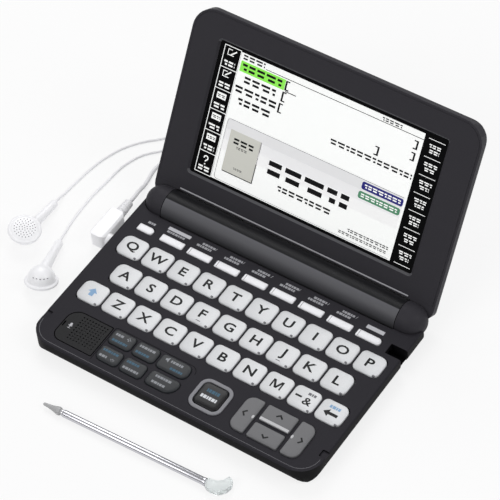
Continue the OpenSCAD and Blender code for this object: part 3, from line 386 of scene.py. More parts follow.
@made_once
def barrel_satin_and_painted_light(name):
    """Satin finish with painted light, told by the angle about the barrel's axis: charcoal on the upper side as painted
    shade, and a front with a painted highlight just below the band that turns darker towards the deck as painted shade.
    """
    material = moulded(name, colours().barrel, 0.42, cloud=25, grain=0.2, grain_size=0.18, mirror=0.18)
    tree = material.node_tree
    apart = wired(tree, "SeparateXYZ", {0: tree.nodes["Texture Coordinate"].outputs["Object"]}).outputs
    ahead = reckoned(tree, "SUBTRACT", HINGE_Y * MM, apart["Y"])
    angle = reckoned(tree, "ARCTAN2", reckoned(tree, "SUBTRACT", apart["Z"], HINGE_Z * MM), ahead)
    # 1 above the band, where the upper side gets the charcoal of painted shade
    front = ranged(tree, angle, math.radians(BAND_TOP - 1.5), math.radians(BAND_TOP + 1.5), 0, 1)
    # painted highlight brightest at the band, painted shade darker towards the deck
    painted_light_fall = ranged(tree, angle, math.radians(10), math.radians(BAND_TOP), 0.55, 1.5)
    return coloured(material, blended(tree, front, graded(material, painted_light_fall), linear(colours().barrel_top_shade)))


def dress(nodes, material):
    """Gives parts that keep their own shape a finish."""
    for name in nodes:
        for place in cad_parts[name].material_slots:
            place.material = material


# settings


def tint(label, note, colour):
    return bpy.props.FloatVectorProperty(
        name=label, description=note, default=colour, size=3, min=0, max=1, subtype="COLOR_GAMMA"
    )


def length(label, note, size):
    return bpy.props.FloatProperty(name=label, description=note, default=size * MM, unit="LENGTH")


class DictionaryColours(bpy.types.PropertyGroup):
    case: tint("Case", "Charcoal of the deck", (0.16, 0.155, 0.175))
    lid: tint("Lid", "Charcoal of the lid", (0.215, 0.21, 0.228))
    # partly painted shade: the lower shell's own charcoal, made darker for sides that lie in shadow
    tub: tint("Bottom case", "Darker charcoal of the lower shell", (0.045, 0.045, 0.052))
    # the front's own satin grey, which the barrel's finish lightens as a painted highlight near the band and darkens as
    # painted shade towards the deck
    barrel: tint("Barrel front", "Satin grey of the hinge barrel's front", (0.315, 0.315, 0.33))
    # painted shade: the barrel's upper side is given this charcoal
    barrel_top_shade: tint("Barrel top", "Charcoal of the hinge barrel's upper side", (0.1, 0.1, 0.11))
    letter_keys: tint("Letter keys", "Pearl grey of the letter keys", (0.86, 0.865, 0.875))
    function_keys: tint("Function keys", "White of the small keys", (0.885, 0.885, 0.9))
    dark_keys: tint("Dark keys", "Charcoal of the keys in front", (0.145, 0.155, 0.168))
    arrow_keys: tint("Arrow keys", "Grey of the arrow keys", (0.41, 0.41, 0.42))
    ring: tint("Ring", "Grey of the ring round the enter key", (0.5, 0.5, 0.52))
    earphones: tint("Earphones", "White of the earphones", (0.93, 0.93, 0.94))
    print: tint("Print", "Colour of the print on the deck", (0.6, 0.6, 0.62))
    mark: tint("Highlight", "Colour of the marked line on the display", (0.58, 0.95, 0.36))


class DictionarySizes(bpy.types.PropertyGroup):
    edge: length("Edge rounding", "Rounding of the moulded edges", 0.2)
    shoulder: length("Key shoulder", "Rounding of a key's upper edge", 0.55)
    crown: length("Key crown", "Height of a key's crown", 0.16)
    letter: length("Letter height", "Height of the letters on the keys", 4.55)
    main_cord: length("Main cord", "Diameter of the cord to the splitter", 2)
    thin_cord: length("Thin cord", "Diameter of the cords to the earbuds", 1.2)


def colours():
    return bpy.context.scene.dictionary_colours


def sizes():
    return bpy.context.scene.dictionary_sizes


def case_finish():
    return moulded("case charcoal", colours().case, 0.5, grain=0.35, grain_size=0.22, mirror=0.08)


PRINTS = {
    "black": ((0.04, 0.04, 0.05), 0.45, 0.2),
    "grey": ((0.4, 0.4, 0.42), 0.5, 0.3),
    "blue": ((0.5, 0.64, 0.78), 0.5, 0.3),
    "white": ((0.82, 0.83, 0.85), 0.5, 0.3),
    "dim white": ((0.55, 0.56, 0.58), 0.5, 0.2),
    "dim blue": ((0.24, 0.37, 0.45), 0.5, 0.2),
}


def printed(tone):
    colour, rough, mirror = PRINTS[tone]
    return moulded(tone + " print", colour, rough, mirror=mirror)


def cap_piece(part, body, material, ending="_cap"):
    finished(part, body + ending, material, body, (body,), 50)


def mark_pieces(marks, body, tones):
    """One thin piece for each tone of print on a key or a row of keys."""
    for tone, bm in marks.items():
        if bm.verts:
            finished(bm, body + "_" + tone + "_marks", printed(tones.get(tone, tone)), body)
        else:
            bm.free()


# places of the keys, in millimetres, as on the base

KEY_PITCH = 13.97
ROWS = [
    ("letter_keys_row_1", -61.865, 13.2, "QWERTYUIOP"),
    ("letter_keys_row_2", -54.88, -1.9, "ASDFGHJKL"),
    ("letter_keys_row_3", -61.965, -16.965, "^ZXCVBNM-<"),
]
KEY_SIZE = (12.9, 11.4)
KEY_LOW = 6.5
KEY_TOP = 9.2
FUNCTION_X = -48.395
FUNCTION_Y = 25.15
FUNCTION_PITCH = 14.87
FUNCTION_TOP = 8.9
POWER_X = -62.895
DARK_KEYS = {
    "page_up_key": ((-35.1, -31.95), (11.8, 7.9), (2, 2, 2, 2)),
    "page_down_key": ((-35.1, -41.7), (11.7, 7.9), (2, 2, 3, 2)),
    "jump_key": ((-22.4, -31.95), (11.8, 7.9), (2, 2, 2, 2)),
    "history_key": ((-22.4, -41.7), (11.7, 7.9), (2, 2, 2, 2)),
    "voice_key": ((-7.5, -31.95), (15.8, 7.9), (3, 2, 2, 3)),
    "back_key": ((-7, -41.6), (15.2, 7.9), (2, 2, 2, 5.4)),
}
ENTER = ((15.1, -36.9), (12.8, 12.5))
ARROWS = {
    "arrow_left_key": ((33.1, -36.5), (8, 18.4), (0.8, 4, 4, 0.8), 90),
    "arrow_right_key": ((59.8, -36.5), (8, 18.4), (4, 0.8, 0.8, 4), -90),
    "arrow_up_key": ((46.5, -31.6), (15.1, 8.5), (0.8, 0.8, 0.8, 0.8), 0),
    "arrow_down_key": ((46.4, -41.8), (15.1, 7.9), (0.8, 0.8, 0.8, 0.8), 180),
}
# outlines of the signs, in millimetres from the middle of their key
SIGNS = {
    "^": ("blue", [(-2.4, -0.1), (0, 2.3), (2.4, -0.1), (1.1, -0.1), (1.1, -2.2), (-1.1, -2.2), (-1.1, -0.1)]),
    "<": ("black", [(-3.6, -1.1), (-1, 0.9), (-1, -0.35), (3.4, -0.35), (3.4, -1.85), (-1, -1.85), (-1, -3.1)]),
    "-": ("black", [(-4.5, 0.5), (-4.5, -0.45), (-1.3, -0.45), (-1.3, 0.5)]),
}
RIDGE = [(-1.1, -3.9), (1.1, -3.9), (1.1, -4.25), (-1.1, -4.25)]
SOUND = [(-5.4, 1.1), (-5.4, 2.1), (-4.7, 2.1), (-3.7, 2.9), (-3.7, 0.3), (-4.7, 1.1)]
# bars in place of words: tone, start and end across, place up
KEY_BARS = {
    "page_up_key": [("white", -4.2, 0.4, 1.5), ("blue", -4.2, 3.6, -1.7)],
    "page_down_key": [("blue", -4.2, 3.6, 1.7), ("white", -4.2, 0.4, -1.5)],
    "jump_key": [("white", -4.3, 4.2, 1.7), ("blue", -4.3, 2.6, -1.7)],
    "history_key": [("blue", -4.3, 2.6, 1.7), ("white", -4.3, 4.2, -1.7)],
    "voice_key": [("white", -2.6, 3.6, 1.6), ("blue", -1, 5.2, -1.7)],
    "back_key": [("white", -4.6, 3.4, 1.7), ("white", -4.6, 2.2, -1.6)],
    "enter_key": [("blue", -3.2, 3.2, 2.1), ("white", -4.2, 4.2, -1.4)],
}
# below this height the upright sides of the deck are painted darker, as shade
SHADED_SIDE_Z = 8
GRILLE = ((-53.25, -37), (21.9, 18))
MICROPHONE = (-63.1, -37)


# cords: the routes are the ones that the base was laid out with, in millimetres

FLOOR_MAIN = GROUND + 1
FLOOR_THIN = GROUND + 0.6


def laid(points, floor):
    """Points of a route, where one without a height lies on the ground."""
    return [p if len(p) == 3 else (*p, floor) for p in points]


MAIN_ROUTE = laid([
    (-81.5, 38, 3.35), (-81.5, 41.5, 3.35), (-82.3, 46, 2.4), (-83, 51, 0.8), (-84, 56), (-84.8, 60.5), (-84.6, 65),
    (-82.5, 68.8), (-78.5, 71), (-73, 71.8), (-66, 71.6), (-58, 71.4), (-50, 71.3), (-44, 71.3),
], FLOOR_MAIN)
LEFT_ROUTE = laid([
    (-112.2, 21.25, 1.2), (-112.25, 22.65, 1.2), (-112.4, 26, 0.5), (-112.4, 29.2), (-112.2, 33), (-111.8, 38),
    (-111, 46), (-109.8, 53), (-108.1, 58.6), (-106.1, 63.8), (-103.5, 68.2), (-100.5, 72.2), (-97.2, 75.6),
    (-93.7, 78.8), (-91, 82), (-89, 87), (-88.4, 93), (-87.4, 98.5), (-84.6, 102.4), (-80, 104), (-75, 104),
], FLOOR_THIN)
RIGHT_ROUTE = laid([
    (-96.4, 3.3, 1.2), (-96.8, 4.65, 1.2), (-97.7, 7.8, 0.5), (-98.5, 10.9), (-99.2, 14.2), (-99.7, 18),
    (-100.2, 24), (-100.5, 32), (-100.3, 38.3), (-99.8, 44.6), (-99.2, 54.2), (-97.7, 60.1), (-95.6, 65.3),
    (-92.7, 69.2), (-89, 72.9), (-85.4, 76.8), (-82.8, 81.6), (-81.5, 87), (-81.3, 90.5),
], FLOOR_THIN)
MAIN_END = [(-47, 102.7, 2.25), (-49.5, 102.7, 1.7), (-52, 102.7, 1.7)]
LEFT_END = [(-68, 104, 1.45), (-64, 104, 1.45)]
RIGHT_END = [(-68, 101.4, 1.45), (-64, 101.4, 1.45)]
LOOP_STEPS = 24
# earbud: radius, length of the stem, its lean in degrees and how far it starts behind the rim
BUD_RADIUS = 7.8
STEM = 23.5
STEM_LEAN = 8
STEM_DROP = 5.2


def coil(at, low, turns, outer, pitch, start, way):
    """Loops in on the lower layer, up where they turn back, and out on the upper layer."""
    points = []
    for i in range(round(turns * LOOP_STEPS) + 1):
        t = i / LOOP_STEPS
        r = outer - pitch * (turns / 2 - abs(t - turns / 2))
        a = math.radians(start + way * 360 * t)
        climb = min(1, max(0, (t - turns / 2 + 0.25) * 2))
        points.append((at[0] + r * math.cos(a), at[1] + r * math.sin(a), low + pitch * climb))
    return points


def eased(points, steps=3):
    """Smooth run through the points of a free stretch."""
    run = []
    last = len(points) - 1
    for i in range(last):
        p0, p1, p2, p3 = (Vector(points[min(max(i + k, 0), last)]) for k in (-1, 0, 1, 2))
        for s in range(steps):
            t = s / steps
            run.append(tuple(
                0.5 * (2 * p1 + (p2 - p0) * t + (2 * p0 - 5 * p1 + 4 * p2 - p3) * t * t
                       + (3 * p1 - p0 - 3 * p2 + p3) * t ** 3)
            ))
    return run + [tuple(points[-1])]


def cord_piece(name, points, diameter, nodes, material):
    curve = bpy.data.curves.new(name, "CURVE")
    curve.dimensions = "3D"
    curve.bevel_depth = diameter / 2
    curve.bevel_resolution = 3
    curve.use_fill_caps = True
    spline = curve.splines.new("POLY")
    spline.points.add(len(points) - 1)
    for p, co in zip(spline.points, points):
        p.co = (*(c * MM for c in co), 1)
    spline.use_smooth = True
    curve.materials.append(material)
    piece = linked(name, curve)
    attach(piece, "earphones")
    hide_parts(*nodes)
    return piece


def run_length(points):
    return sum((Vector(b) - Vector(a)).length for a, b in zip(points, points[1:])) * MM


# stage

CAMERA_AT = (443.12, -545.62, 912.44)
CAMERA_AIM = (-10.37, 32.36, 19.2)
CAMERA_ROLL = -5.581
LENS, SENSOR = 188.77, 36
FLOOR_GLOW = 0.79
SKY_LOW, SKY_HIGH = 0.12, 0.46
# name, place in metres, size in metres, power in watts
LAMPS = (
    ("key lamp", (-0.55, 0.75, 1.0), 0.7, 6.5),
    ("side lamp", (0.9, 0.25, 0.8), 0.6, 4),
    ("front lamp", (-0.3, -1.0, 0.9), 0.8, 5.5),
)


# operators


class DictionaryPiece:
    bl_options = {"REGISTER", "UNDO"}


class DICTIONARY_OT_stage(DictionaryPiece, bpy.types.Operator):
    """Add the pale floor, the soft lamps and the camera"""

    bl_idname = "dictionary.stage"
    bl_label = "Stage"

    def execute(self, context):
        scene = context.scene
        self.camera(scene)
        self.floor()
        self.lamps(scene)
        scene.view_settings.view_transform = "Standard"
        return {"FINISHED"}

    def camera(self, scene):
        data = bpy.data.cameras.new("camera")
        data.lens = LENS
        data.sensor_width = SENSOR
        camera = linked("camera", data)
        place, aim, roll = mm(*CAMERA_AT), mm(*CAMERA_AIM), math.radians(CAMERA_ROLL)
        ahead = (aim - place).normalized()
        right = ahead.cross(Vector((0, 0, 1))).normalized()
        down = ahead.cross(right)
        across = math.cos(roll) * right - math.sin(roll) * down
        under = math.sin(roll) * right + math.cos(roll) * down
        basis = Matrix((across, -under, -ahead)).transposed()
        camera.matrix_world = Matrix.Translation(place) @ basis.to_4x4()
        scene.camera = camera

    def floor(self):
        bm = bmesh.new()
        bmesh.ops.create_grid(bm, x_segments=1, y_segments=1, size=4, matrix=shift(0, 0, GROUND))
        mesh = bpy.data.meshes.new("floor")
        bm.to_mesh(mesh)
        bm.free()
        floor = linked("floor", mesh)
        material = bpy.data.materials.new("pale floor")
        material.use_nodes = True
        tree = material.node_tree
        shader = tree.nodes["Principled BSDF"]
        shader.inputs["Base Color"].default_value = (0.88, 0.88, 0.885, 1)
        shader.inputs["Roughness"].default_value = 0.8
        rays = wired(tree, "LightPath").outputs
        seen = reckoned(tree, "MAXIMUM", rays["Is Camera Ray"], rays["Is Glossy Ray"])
        seen = reckoned(tree, "MAXIMUM", seen, rays["Is Transmission Ray"])
        glow = wired(tree, "Emission", {"Color": (1, 1, 1, 1)}).outputs[0]
        mix = wired(tree, "MixShader", {0: reckoned(tree, "MULTIPLY", seen, FLOOR_GLOW), 1: shader.outputs[0], 2: glow})
        tree.links.new(mix.outputs[0], tree.nodes["Material Output"].inputs["Surface"])
        mesh.materials.append(material)

    def lamps(self, scene):
        world = bpy.data.worlds.new("studio")
        scene.world = world
        world.use_nodes = True
        tree = world.node_tree
        back = tree.nodes["Background"]
        back.inputs["Color"].default_value = (1, 1, 1, 1)
        way = wired(tree, "SeparateXYZ", {0: wired(tree, "TexCoord").outputs["Generated"]})
        sky = ranged(tree, way.outputs["Z"], 0, 0.6, SKY_LOW, SKY_HIGH)
        power = ranged(tree, wired(tree, "LightPath").outputs["Is Camera Ray"], 0, 1, sky, 1)
        tree.links.new(power, back.inputs["Strength"])
        for name, place, size, watts in LAMPS:
            data = bpy.data.lights.new(name, "AREA")
            data.shape = "SQUARE"
            data.size = size
            data.energy = watts
            lamp = linked(name, data)
            aim = (-Vector(place)).to_track_quat("-Z", "Y").to_matrix().to_4x4()
            lamp.matrix_world = Matrix.Translation(place) @ aim


class DICTIONARY_OT_cords(DictionaryPiece, bpy.types.Operator):
    """Lay the cords of the earphones"""

    bl_idname = "dictionary.cords"
    bl_label = "Cords"

    def execute(self, context):
        # the glow of the cord jacket is painted light that brightens it
        jacket = moulded("cord jacket", (0.9, 0.9, 0.91), 0.45, spread=0.02, cloud=200, grain=0.1, glow=0.08)
        main = eased(MAIN_ROUTE) + coil((-42, 87), FLOOR_MAIN, 7.5, 15.7, 2.45, -90, 1) + MAIN_END
        left = eased(LEFT_ROUTE) + coil((-72, 113.3), FLOOR_THIN, 7, 9.3, 1.65, -90, 1) + LEFT_END
        right = eased(RIGHT_ROUTE) + coil((-72, 92.1), FLOOR_THIN, 7.25, 9.3, 1.65, 180, -1) + RIGHT_END
        wide, thin = sizes().main_cord, sizes().thin_cord
        for side, run, start, diameter, fittings in (
            ("main", main, main[0], wide, ["plug_block", "plug_pin", "plug_relief", "splitter"]),
            ("left", left, left[-1], thin, ["left_bud_shell", "left_bud_face"]),
            ("right", right, right[-1], thin, ["right_bud_shell", "right_bud_face"]),
        ):
            lead = cord_piece(side + "_lead", run, diameter, (side + "_cord", side + "_coil"), jacket)
            run_length(run)
        return {"FINISHED"}


class DICTIONARY_OT_earphones(DictionaryPiece, bpy.types.Operator):
    """Build the earbuds, the plug, its relief and the splitter"""

    bl_idname = "dictionary.earphones"
    bl_label = "Earphones"

    def execute(self, context):
        # the glow of the white earphone plastics is painted light that brightens them
        gloss = moulded("earphone gloss", colours().earphones, 0.34, spread=0.015, coat=0.08, glow=0.1)
        satin = moulded("earphone satin", (0.9, 0.9, 0.91), 0.4, spread=0.02, glow=0.08)
        hole = moulded("sound hole", (0.35, 0.35, 0.38), 0.8)
        lean = math.radians(STEM_LEAN)
        from_end = shift(0, -STEM * math.cos(lean), STEM * math.sin(lean) + STEM_DROP)
        left = shift(-112.2, 21.25, 1.2) @ turn(-1, "Z") @ turn(2.6, "X") @ turn(12, "Y")
        right = shift(-96.4, 3.3, 1.2) @ turn(17, "Z") @ turn(-19.6, "X") @ turn(180, "Y")
        self.bud("left", left @ from_end, 40, gloss, hole)
        self.bud("right", right @ from_end, -140, gloss, hole)
        self.plug(gloss, satin)
        return {"FINISHED"}

    def bud(self, side, place, vents_at, gloss, hole):
        r = BUD_RADIUS
        shell = bmesh.new()
        dome = [(0, -2.62), (r - 1.2, -2.62)]
        dome += [((r - 1.4) * math.cos(a), -2.75 - 6.42 * math.sin(a)) for a in map(math.radians, range(4, 90, 6))]
        pour(shell, turned(dome + [(0, -9.18)]))
        stem = turned([(0, 0), (2.5, 0), (2.6, 3), (2.6, 6), (2.4, 9), (2.15, 13), (1.98, 18), (1.95, 22.6),
                       (1.8, 23.2), (1.4, 23.45), (0.75, STEM), (0, STEM)], 32)
        pour(shell, stem, shift(0, 0, -STEM_DROP) @ turn(-90 - STEM_LEAN, "X"))
        face = turned([(0, -2.6), (r - 1.6, -2.6), (r - 0.5, -2.45), (r - 0.1, -2.1), (r, -1.6), (r - 0.15, -1.2),
                       (r - 0.5, -0.9), (r - 1.1, -0.62), (r - 1.3, -0.66), (r - 1.5, -0.5), (r - 2.4, -0.28),
                       (r - 3.6, -0.1), (r - 5.5, -0.03), (0, 0)])
        dots = bmesh.new()
        for count, ring, height in ((1, 0, 0), (6, 1.25, -0.01), (12, 2.5, -0.04), (16, 3.7, -0.08), (20, 4.8, -0.2)):
            for i in range(count):
                a = math.tau * i / count + ring
                spot = shift(ring * math.cos(a), ring * math.sin(a), height + 0.05)
                bmesh.ops.create_circle(dots, cap_ends=True, segments=8, radius=0.24 * MM, matrix=spot)
        outward(dots)
        vents = bmesh.new()
        for i in range(5):
            a = math.radians(vents_at + i * 17)
            slot = cap((0, 0), (0.65, 1.1), (0.3,) * 4, -0.05, 0.06, 0, 0)
            tilt = Matrix.Rotation(a + math.pi / 2, 4, "Z") @ turn(61, "X") @ turn(180, "X")
            pour(vents, slot, shift(5.6 * math.cos(a), 5.6 * math.sin(a), -5.86) @ tilt)
        for bm, name, material, nodes, sharp in (
            (shell, "shell", gloss, (side + "_earbud_shell",), 35), (face, "face", gloss, (side + "_earbud_face",), 50),
            (dots, "holes", hole, (), 40), (vents, "vents", hole, (), 40),
        ):
            finished(placed(bm, place), side + "_bud_" + name, material, "earphones", nodes, sharp)

    def plug(self, gloss, satin):
        steps = [(0, 0), (2.5, 0)]
        for i in range(6):
            r, z = 2.65 - 0.1 * i, 0.8 + 1.35 * i
            steps += [(r - 0.3, z - 0.1), (r - 0.1, z), (r, z + 0.12), (r, z + 0.75), (r - 0.1, z + 0.87),
                      (r - 0.35, z + 1)]
        steps += [(1.5, 8.9), (1.3, 9), (0, 9)]
        relief = placed(turned(steps, 32), shift(-81.5, 29, 3.35) @ turn(-90, "X"))
        for bm, name, material, node, sharp in (
            (softened("plug_housing", 1.5, 5), "plug_block", gloss, "plug_housing", 35),
            (relief, "plug_relief", satin, "plug_strain_relief", 50),
            (softened("cord_splitter", 0.7, 3), "splitter", gloss, "cord_splitter", 35),
        ):
            finished(bm, name, material, "earphones", (node,), sharp)
        dress(["plug_pin"], moulded("gold plate", (0.85, 0.68, 0.35), 0.25, spread=0.03, metallic=1))


class DICTIONARY_OT_case(DictionaryPiece, bpy.types.Operator):
    """Dress the shells of the base, the barrel and the feet"""

    bl_idname = "dictionary.case"
    bl_label = "Base shells"

    def execute(self, context):
        edge = sizes().edge / MM
        deck = softened("top_case", edge, 3, above(7.5))
        for face in deck.faces:
            # upright faces low on the deck take the second slot: a darker copy of the case charcoal, as painted shade
            face.material_index = int(face.calc_center_median().z < SHADED_SIDE_Z * MM and abs(face.normal.z) < 0.5)
        top = finished(deck, "deck", case_finish(), "base", ("top_case",), 35, True)
        # painted shade: darker charcoal for the deck's upright sides
        side = moulded("case side", (0.06, 0.058, 0.066), 0.55, grain=0.35, grain_size=0.22, mirror=0.05)
        top.data.materials.append(side)
        # partly painted shade: the lower shell's own charcoal, made darker for sides that lie in shadow
        tub = moulded("bottom charcoal", colours().tub, 0.55, spread=0.06, grain=0.4, grain_size=0.25, mirror=0.06)
        shell = softened("bottom_case", edge, 2, lambda e: max(v.co.z for v in e.verts) < 0.6 * MM)
        finished(shell, "tub", tub, "base", ("bottom_case",), 35)
        dress(["hinge_barrel", "battery_cover"], barrel_satin_and_painted_light("barrel satin"))
        seams = bmesh.new()
        for x in (-BARREL_END, BARREL_END):
            ring = turned([(7.3, -0.15), (7.68, -0.15), (7.68, 0.15), (7.3, 0.15), (7.3, -0.15)], 64)
            pour(seams, ring, shift(x, HINGE_Y, HINGE_Z) @ turn(90, "Y"))
        shadow = moulded("seam shadow", (0.03, 0.03, 0.035), 0.8, mirror=0.05)
        finished(seams, "barrel_seams", shadow, "base")
        dress(["rubber_feet"], moulded("foot rubber", (0.07, 0.07, 0.075), 0.85, spread=0.1, grain=0.5, grain_size=0.3))
        steel = moulded("screw steel", (0.6, 0.6, 0.62), 0.35, spread=0.08, metallic=1, grain=0.15)
        dress(["case_screws", "hinge_pins", "lid_screws"], steel)
        return {"FINISHED"}


class DICTIONARY_OT_letter_keys(DictionaryPiece, bpy.types.Operator):
    """Build the three rows of letter keys with their legends"""

    bl_idname = "dictionary.letter_keys"
    bl_label = "Letter keys"

    def execute(self, context):
        shoulder, crown = sizes().shoulder / MM, sizes().crown / MM
        for name, x0, y, letters in ROWS:
            material = pearl("pearl of " + name, colours().letter_keys, x0 - KEY_PITCH / 2)
            caps = bmesh.new()
            marks = {tone: bmesh.new() for tone in ("black", "grey", "blue")}
            for i, letter in enumerate(letters):
                x = x0 + i * KEY_PITCH
                right = 3.5 if i == len(letters) - 1 else 2.5
                left = 3.5 if i == 0 else 2.5
                radii = (right, left, left, right)
                pour(caps, cap((x, y), KEY_SIZE, radii, KEY_LOW, KEY_TOP - crown, shoulder, crown, ring=1.6))
                self.legend(letter, x, y, marks)
                # a grey pad at each key's front right corner stands for a small notch; its dark is painted shade
                nick = (x + 4.7, y - KEY_SIZE[1] / 2 + 0.75)
                pour(marks["grey"], cap(nick, (1.2, 0.9), (0.3,) * 4, 8.3, 9.12, 0.05, 0))
            cap_piece(caps, name, material, "_caps")
            mark_pieces(marks, name, {})
        return {"FINISHED"}

    def legend(self, letter, x, y, marks):
        z, height = KEY_TOP - 0.005, sizes().letter / MM
        if letter in SIGNS:
            tone, points = SIGNS[letter]
            plate(marks[tone], points, z, z + THIN, (x, y))
            if letter == "<":
                dashes(marks["blue"], x - 2.4, x + 3.2, y + 2.4, 1.5, z, 1)
            elif letter == "-":
                pour(marks["black"], lettering("&", (x + 2.1, y - 1), 3.9, 1.2, z, bold=0.09))
                dashes(marks["grey"], x + 0.3, x + 4.4, y + 3, 1.3, z, 2)
        elif letter == "M":
            half = height / 2
            for side in (-1, 1):
                post = x + side * 2.3
                slab(marks["black"], (post - 0.36, y - half, z - THIN), (post + 0.36, y + half, z + 0.018))
                slant = ((2.66, half), (1.5, half), (-0.55, -0.85 * half), (0.55, -0.85 * half))
                slant = [(side * across, up) for across, up in slant]
                plate(marks["black"], slant, z - THIN, z + THIN, (x, y))
        else:
            pour(marks["black"], lettering(letter, (x, y + 0.05), height, 1.22, z))
        if letter in "FJ":
            plate(marks["grey"], RIDGE, z - THIN, z + THIN, (x, y))


class DICTIONARY_OT_small_keys(DictionaryPiece, bpy.types.Operator):
    """Build the power key, the function keys and the lines on them"""

    bl_idname = "dictionary.small_keys"
    bl_label = "Function keys"

    def execute(self, context):
        white = moulded("key white", colours().function_keys, 0.3, spread=0.02, coat=0.3, grain=0.08)
        caps, lines = bmesh.new(), bmesh.new()
        for i in range(8):
            x = FUNCTION_X + i * FUNCTION_PITCH
            end = 1.85 if i == 7 else 0.5
            pour(caps, self.small_cap(x, 12.2, (end, 0.5, 0.5, end)))
            if i:
                slab(lines, (x - 5, FUNCTION_Y - 1.55, FUNCTION_TOP - 0.1),
                     (x - 4.8, FUNCTION_Y + 1.55, FUNCTION_TOP + 0.015))
        finished(caps, "function_key_caps", white, "function_keys", ("function_keys",), 50)
        cap_piece(self.small_cap(POWER_X, 8.2, (1.85, 0.6, 0.6, 1.85)), "power_key", white)
        finished(lines, "function_key_lines", printed("grey"), "function_keys")
        return {"FINISHED"}

    def small_cap(self, x, width, radii):
        return cap((x, FUNCTION_Y), (width, 3.8), radii, 6.7, FUNCTION_TOP - 0.1, 0.3, 0.1, ring=0.6)


class DICTIONARY_OT_control_keys(DictionaryPiece, bpy.types.Operator):
    """Build the dark keys, the enter key with its ring and the arrow keys"""

    bl_idname = "dictionary.control_keys"
    bl_label = "Control keys"

    def execute(self, context):
        dark = moulded("key charcoal", colours().dark_keys, 0.4, grain=0.15, grain_size=0.18, mirror=0.25)
        for name, (at, size, radii) in DARK_KEYS.items():
            cap_piece(cap(at, size, radii, KEY_LOW, KEY_TOP - 0.1, 0.5, 0.1, ring=1.2), name, dark)
        for name, bars in KEY_BARS.items():
            self.marks(name, bars)
        gloss = moulded("enter face", (0.085, 0.085, 0.095), 0.3, spread=0.04, mirror=0.2)
        part = cap(*ENTER, (2.6,) * 4, KEY_LOW, KEY_TOP + 0.05, 0.8, 0.15, ring=1.8, round_steps=7)
        cap_piece(part, "enter_key", gloss)
        ring = moulded("ring grey", colours().ring, 0.45, spread=0.04, grain=0.1, mirror=0.25)
        part = softened("enter_ring", 0.22, 3, above(8.9))
        finished(part, "enter_key_ring", ring, "base", ("enter_ring",), 50)
        self.arrows()
        return {"FINISHED"}

    def arrows(self):
        grey = moulded("arrow grey", colours().arrow_keys, 0.45, grain=0.2, grain_size=0.18, mirror=0.3)
        # bright grey for the painted highlights on the arrow keys
        bright = moulded("bright grey", (0.74, 0.74, 0.75), 0.3, spread=0.03, mirror=0.4)
        for name, ((x, y), (w, d), radii, way) in ARROWS.items():
            part = cap((x, y), (w, d), radii, KEY_LOW, KEY_TOP + 0.1, 0.28, 0.1, ring=1.2)
            cap_piece(part, name, grey)
            chevron = line([(-1.8, 0.5), (0, 2.1), (1.8, 0.5)], 0.78, 0, 0.03)
            placed(chevron, shift(x, y, KEY_TOP + 0.195) @ turn(way, "Z"))
            finished(chevron, name + "_chevron", printed("black"), name)
            # a small bright dome at the inner edge of the left and right keys: a painted highlight
            if abs(way) == 90:
                knob_highlight = turned([(1, 0), (0.95, 0.1), (0.75, 0.18), (0.4, 0.22), (0, 0.23)], 20)
                inner = x + math.copysign(w / 2 - 0.6, way)
                placed(knob_highlight, shift(inner, y, KEY_TOP + 0.14) @ Matrix.Diagonal((0.6, 1, 1, 1)))
                finished(knob_highlight, name + "_knob", bright, name)
        # a bright strip on the up key's front edge: a painted highlight
        (x, y), (w, d) = ARROWS["arrow_up_key"][:2]
        front, side = y - d / 2, w / 2 - 0.35
        lip = bmesh.new()
        verts = slab(lip, (x - side, front - 0.03, KEY_TOP - 0.6), (x + side, front + 1.3, KEY_TOP + 0.32))
        sloped = [v for v in verts if v.co.y < (front + 0.5) * MM and v.co.z > KEY_TOP * MM]
        bmesh.ops.translate(lip, vec=mm(0, 0, -0.14), verts=sloped)
        finished(lip, "arrow_up_key_lip_highlight", bright, "arrow_up_key")

    def marks(self, name, bars):
        """Signs and bars in white and blue, in place of the words on a key."""
        enter = name == "enter_key"
        x, y = ENTER[0] if enter else DARK_KEYS[name][0]
        z = KEY_TOP - 0.005 + (0.2 if enter else 0)
        marks = {"white": bmesh.new(), "blue": bmesh.new()}
        for i, (tone, start, end, up) in enumerate(bars):
            dashes(marks[tone], x + start, x + end, y + up, 1.7 if enter else 1.2, z, i)
        if name.startswith("page"):
            way = 1 if name == "page_up_key" else -1
            up = y + 1.5 * way
            head = [(1.4, -0.2 * way), (2.6, way), (3.8, -0.2 * way)]
            plate(marks["white"], head, z - THIN, z + THIN, (x, up))
            slab(marks["white"], (x + 2.3, up - 0.9, z - THIN), (x + 2.9, up + 0.6, z + THIN))
        if name == "voice_key":
            plate(marks["white"], SOUND, z - THIN, z + THIN, (x, y))
        tones = {"white": "white" if enter else "dim white", "blue": "dim blue"}
        mark_pieces(marks, name, tones)


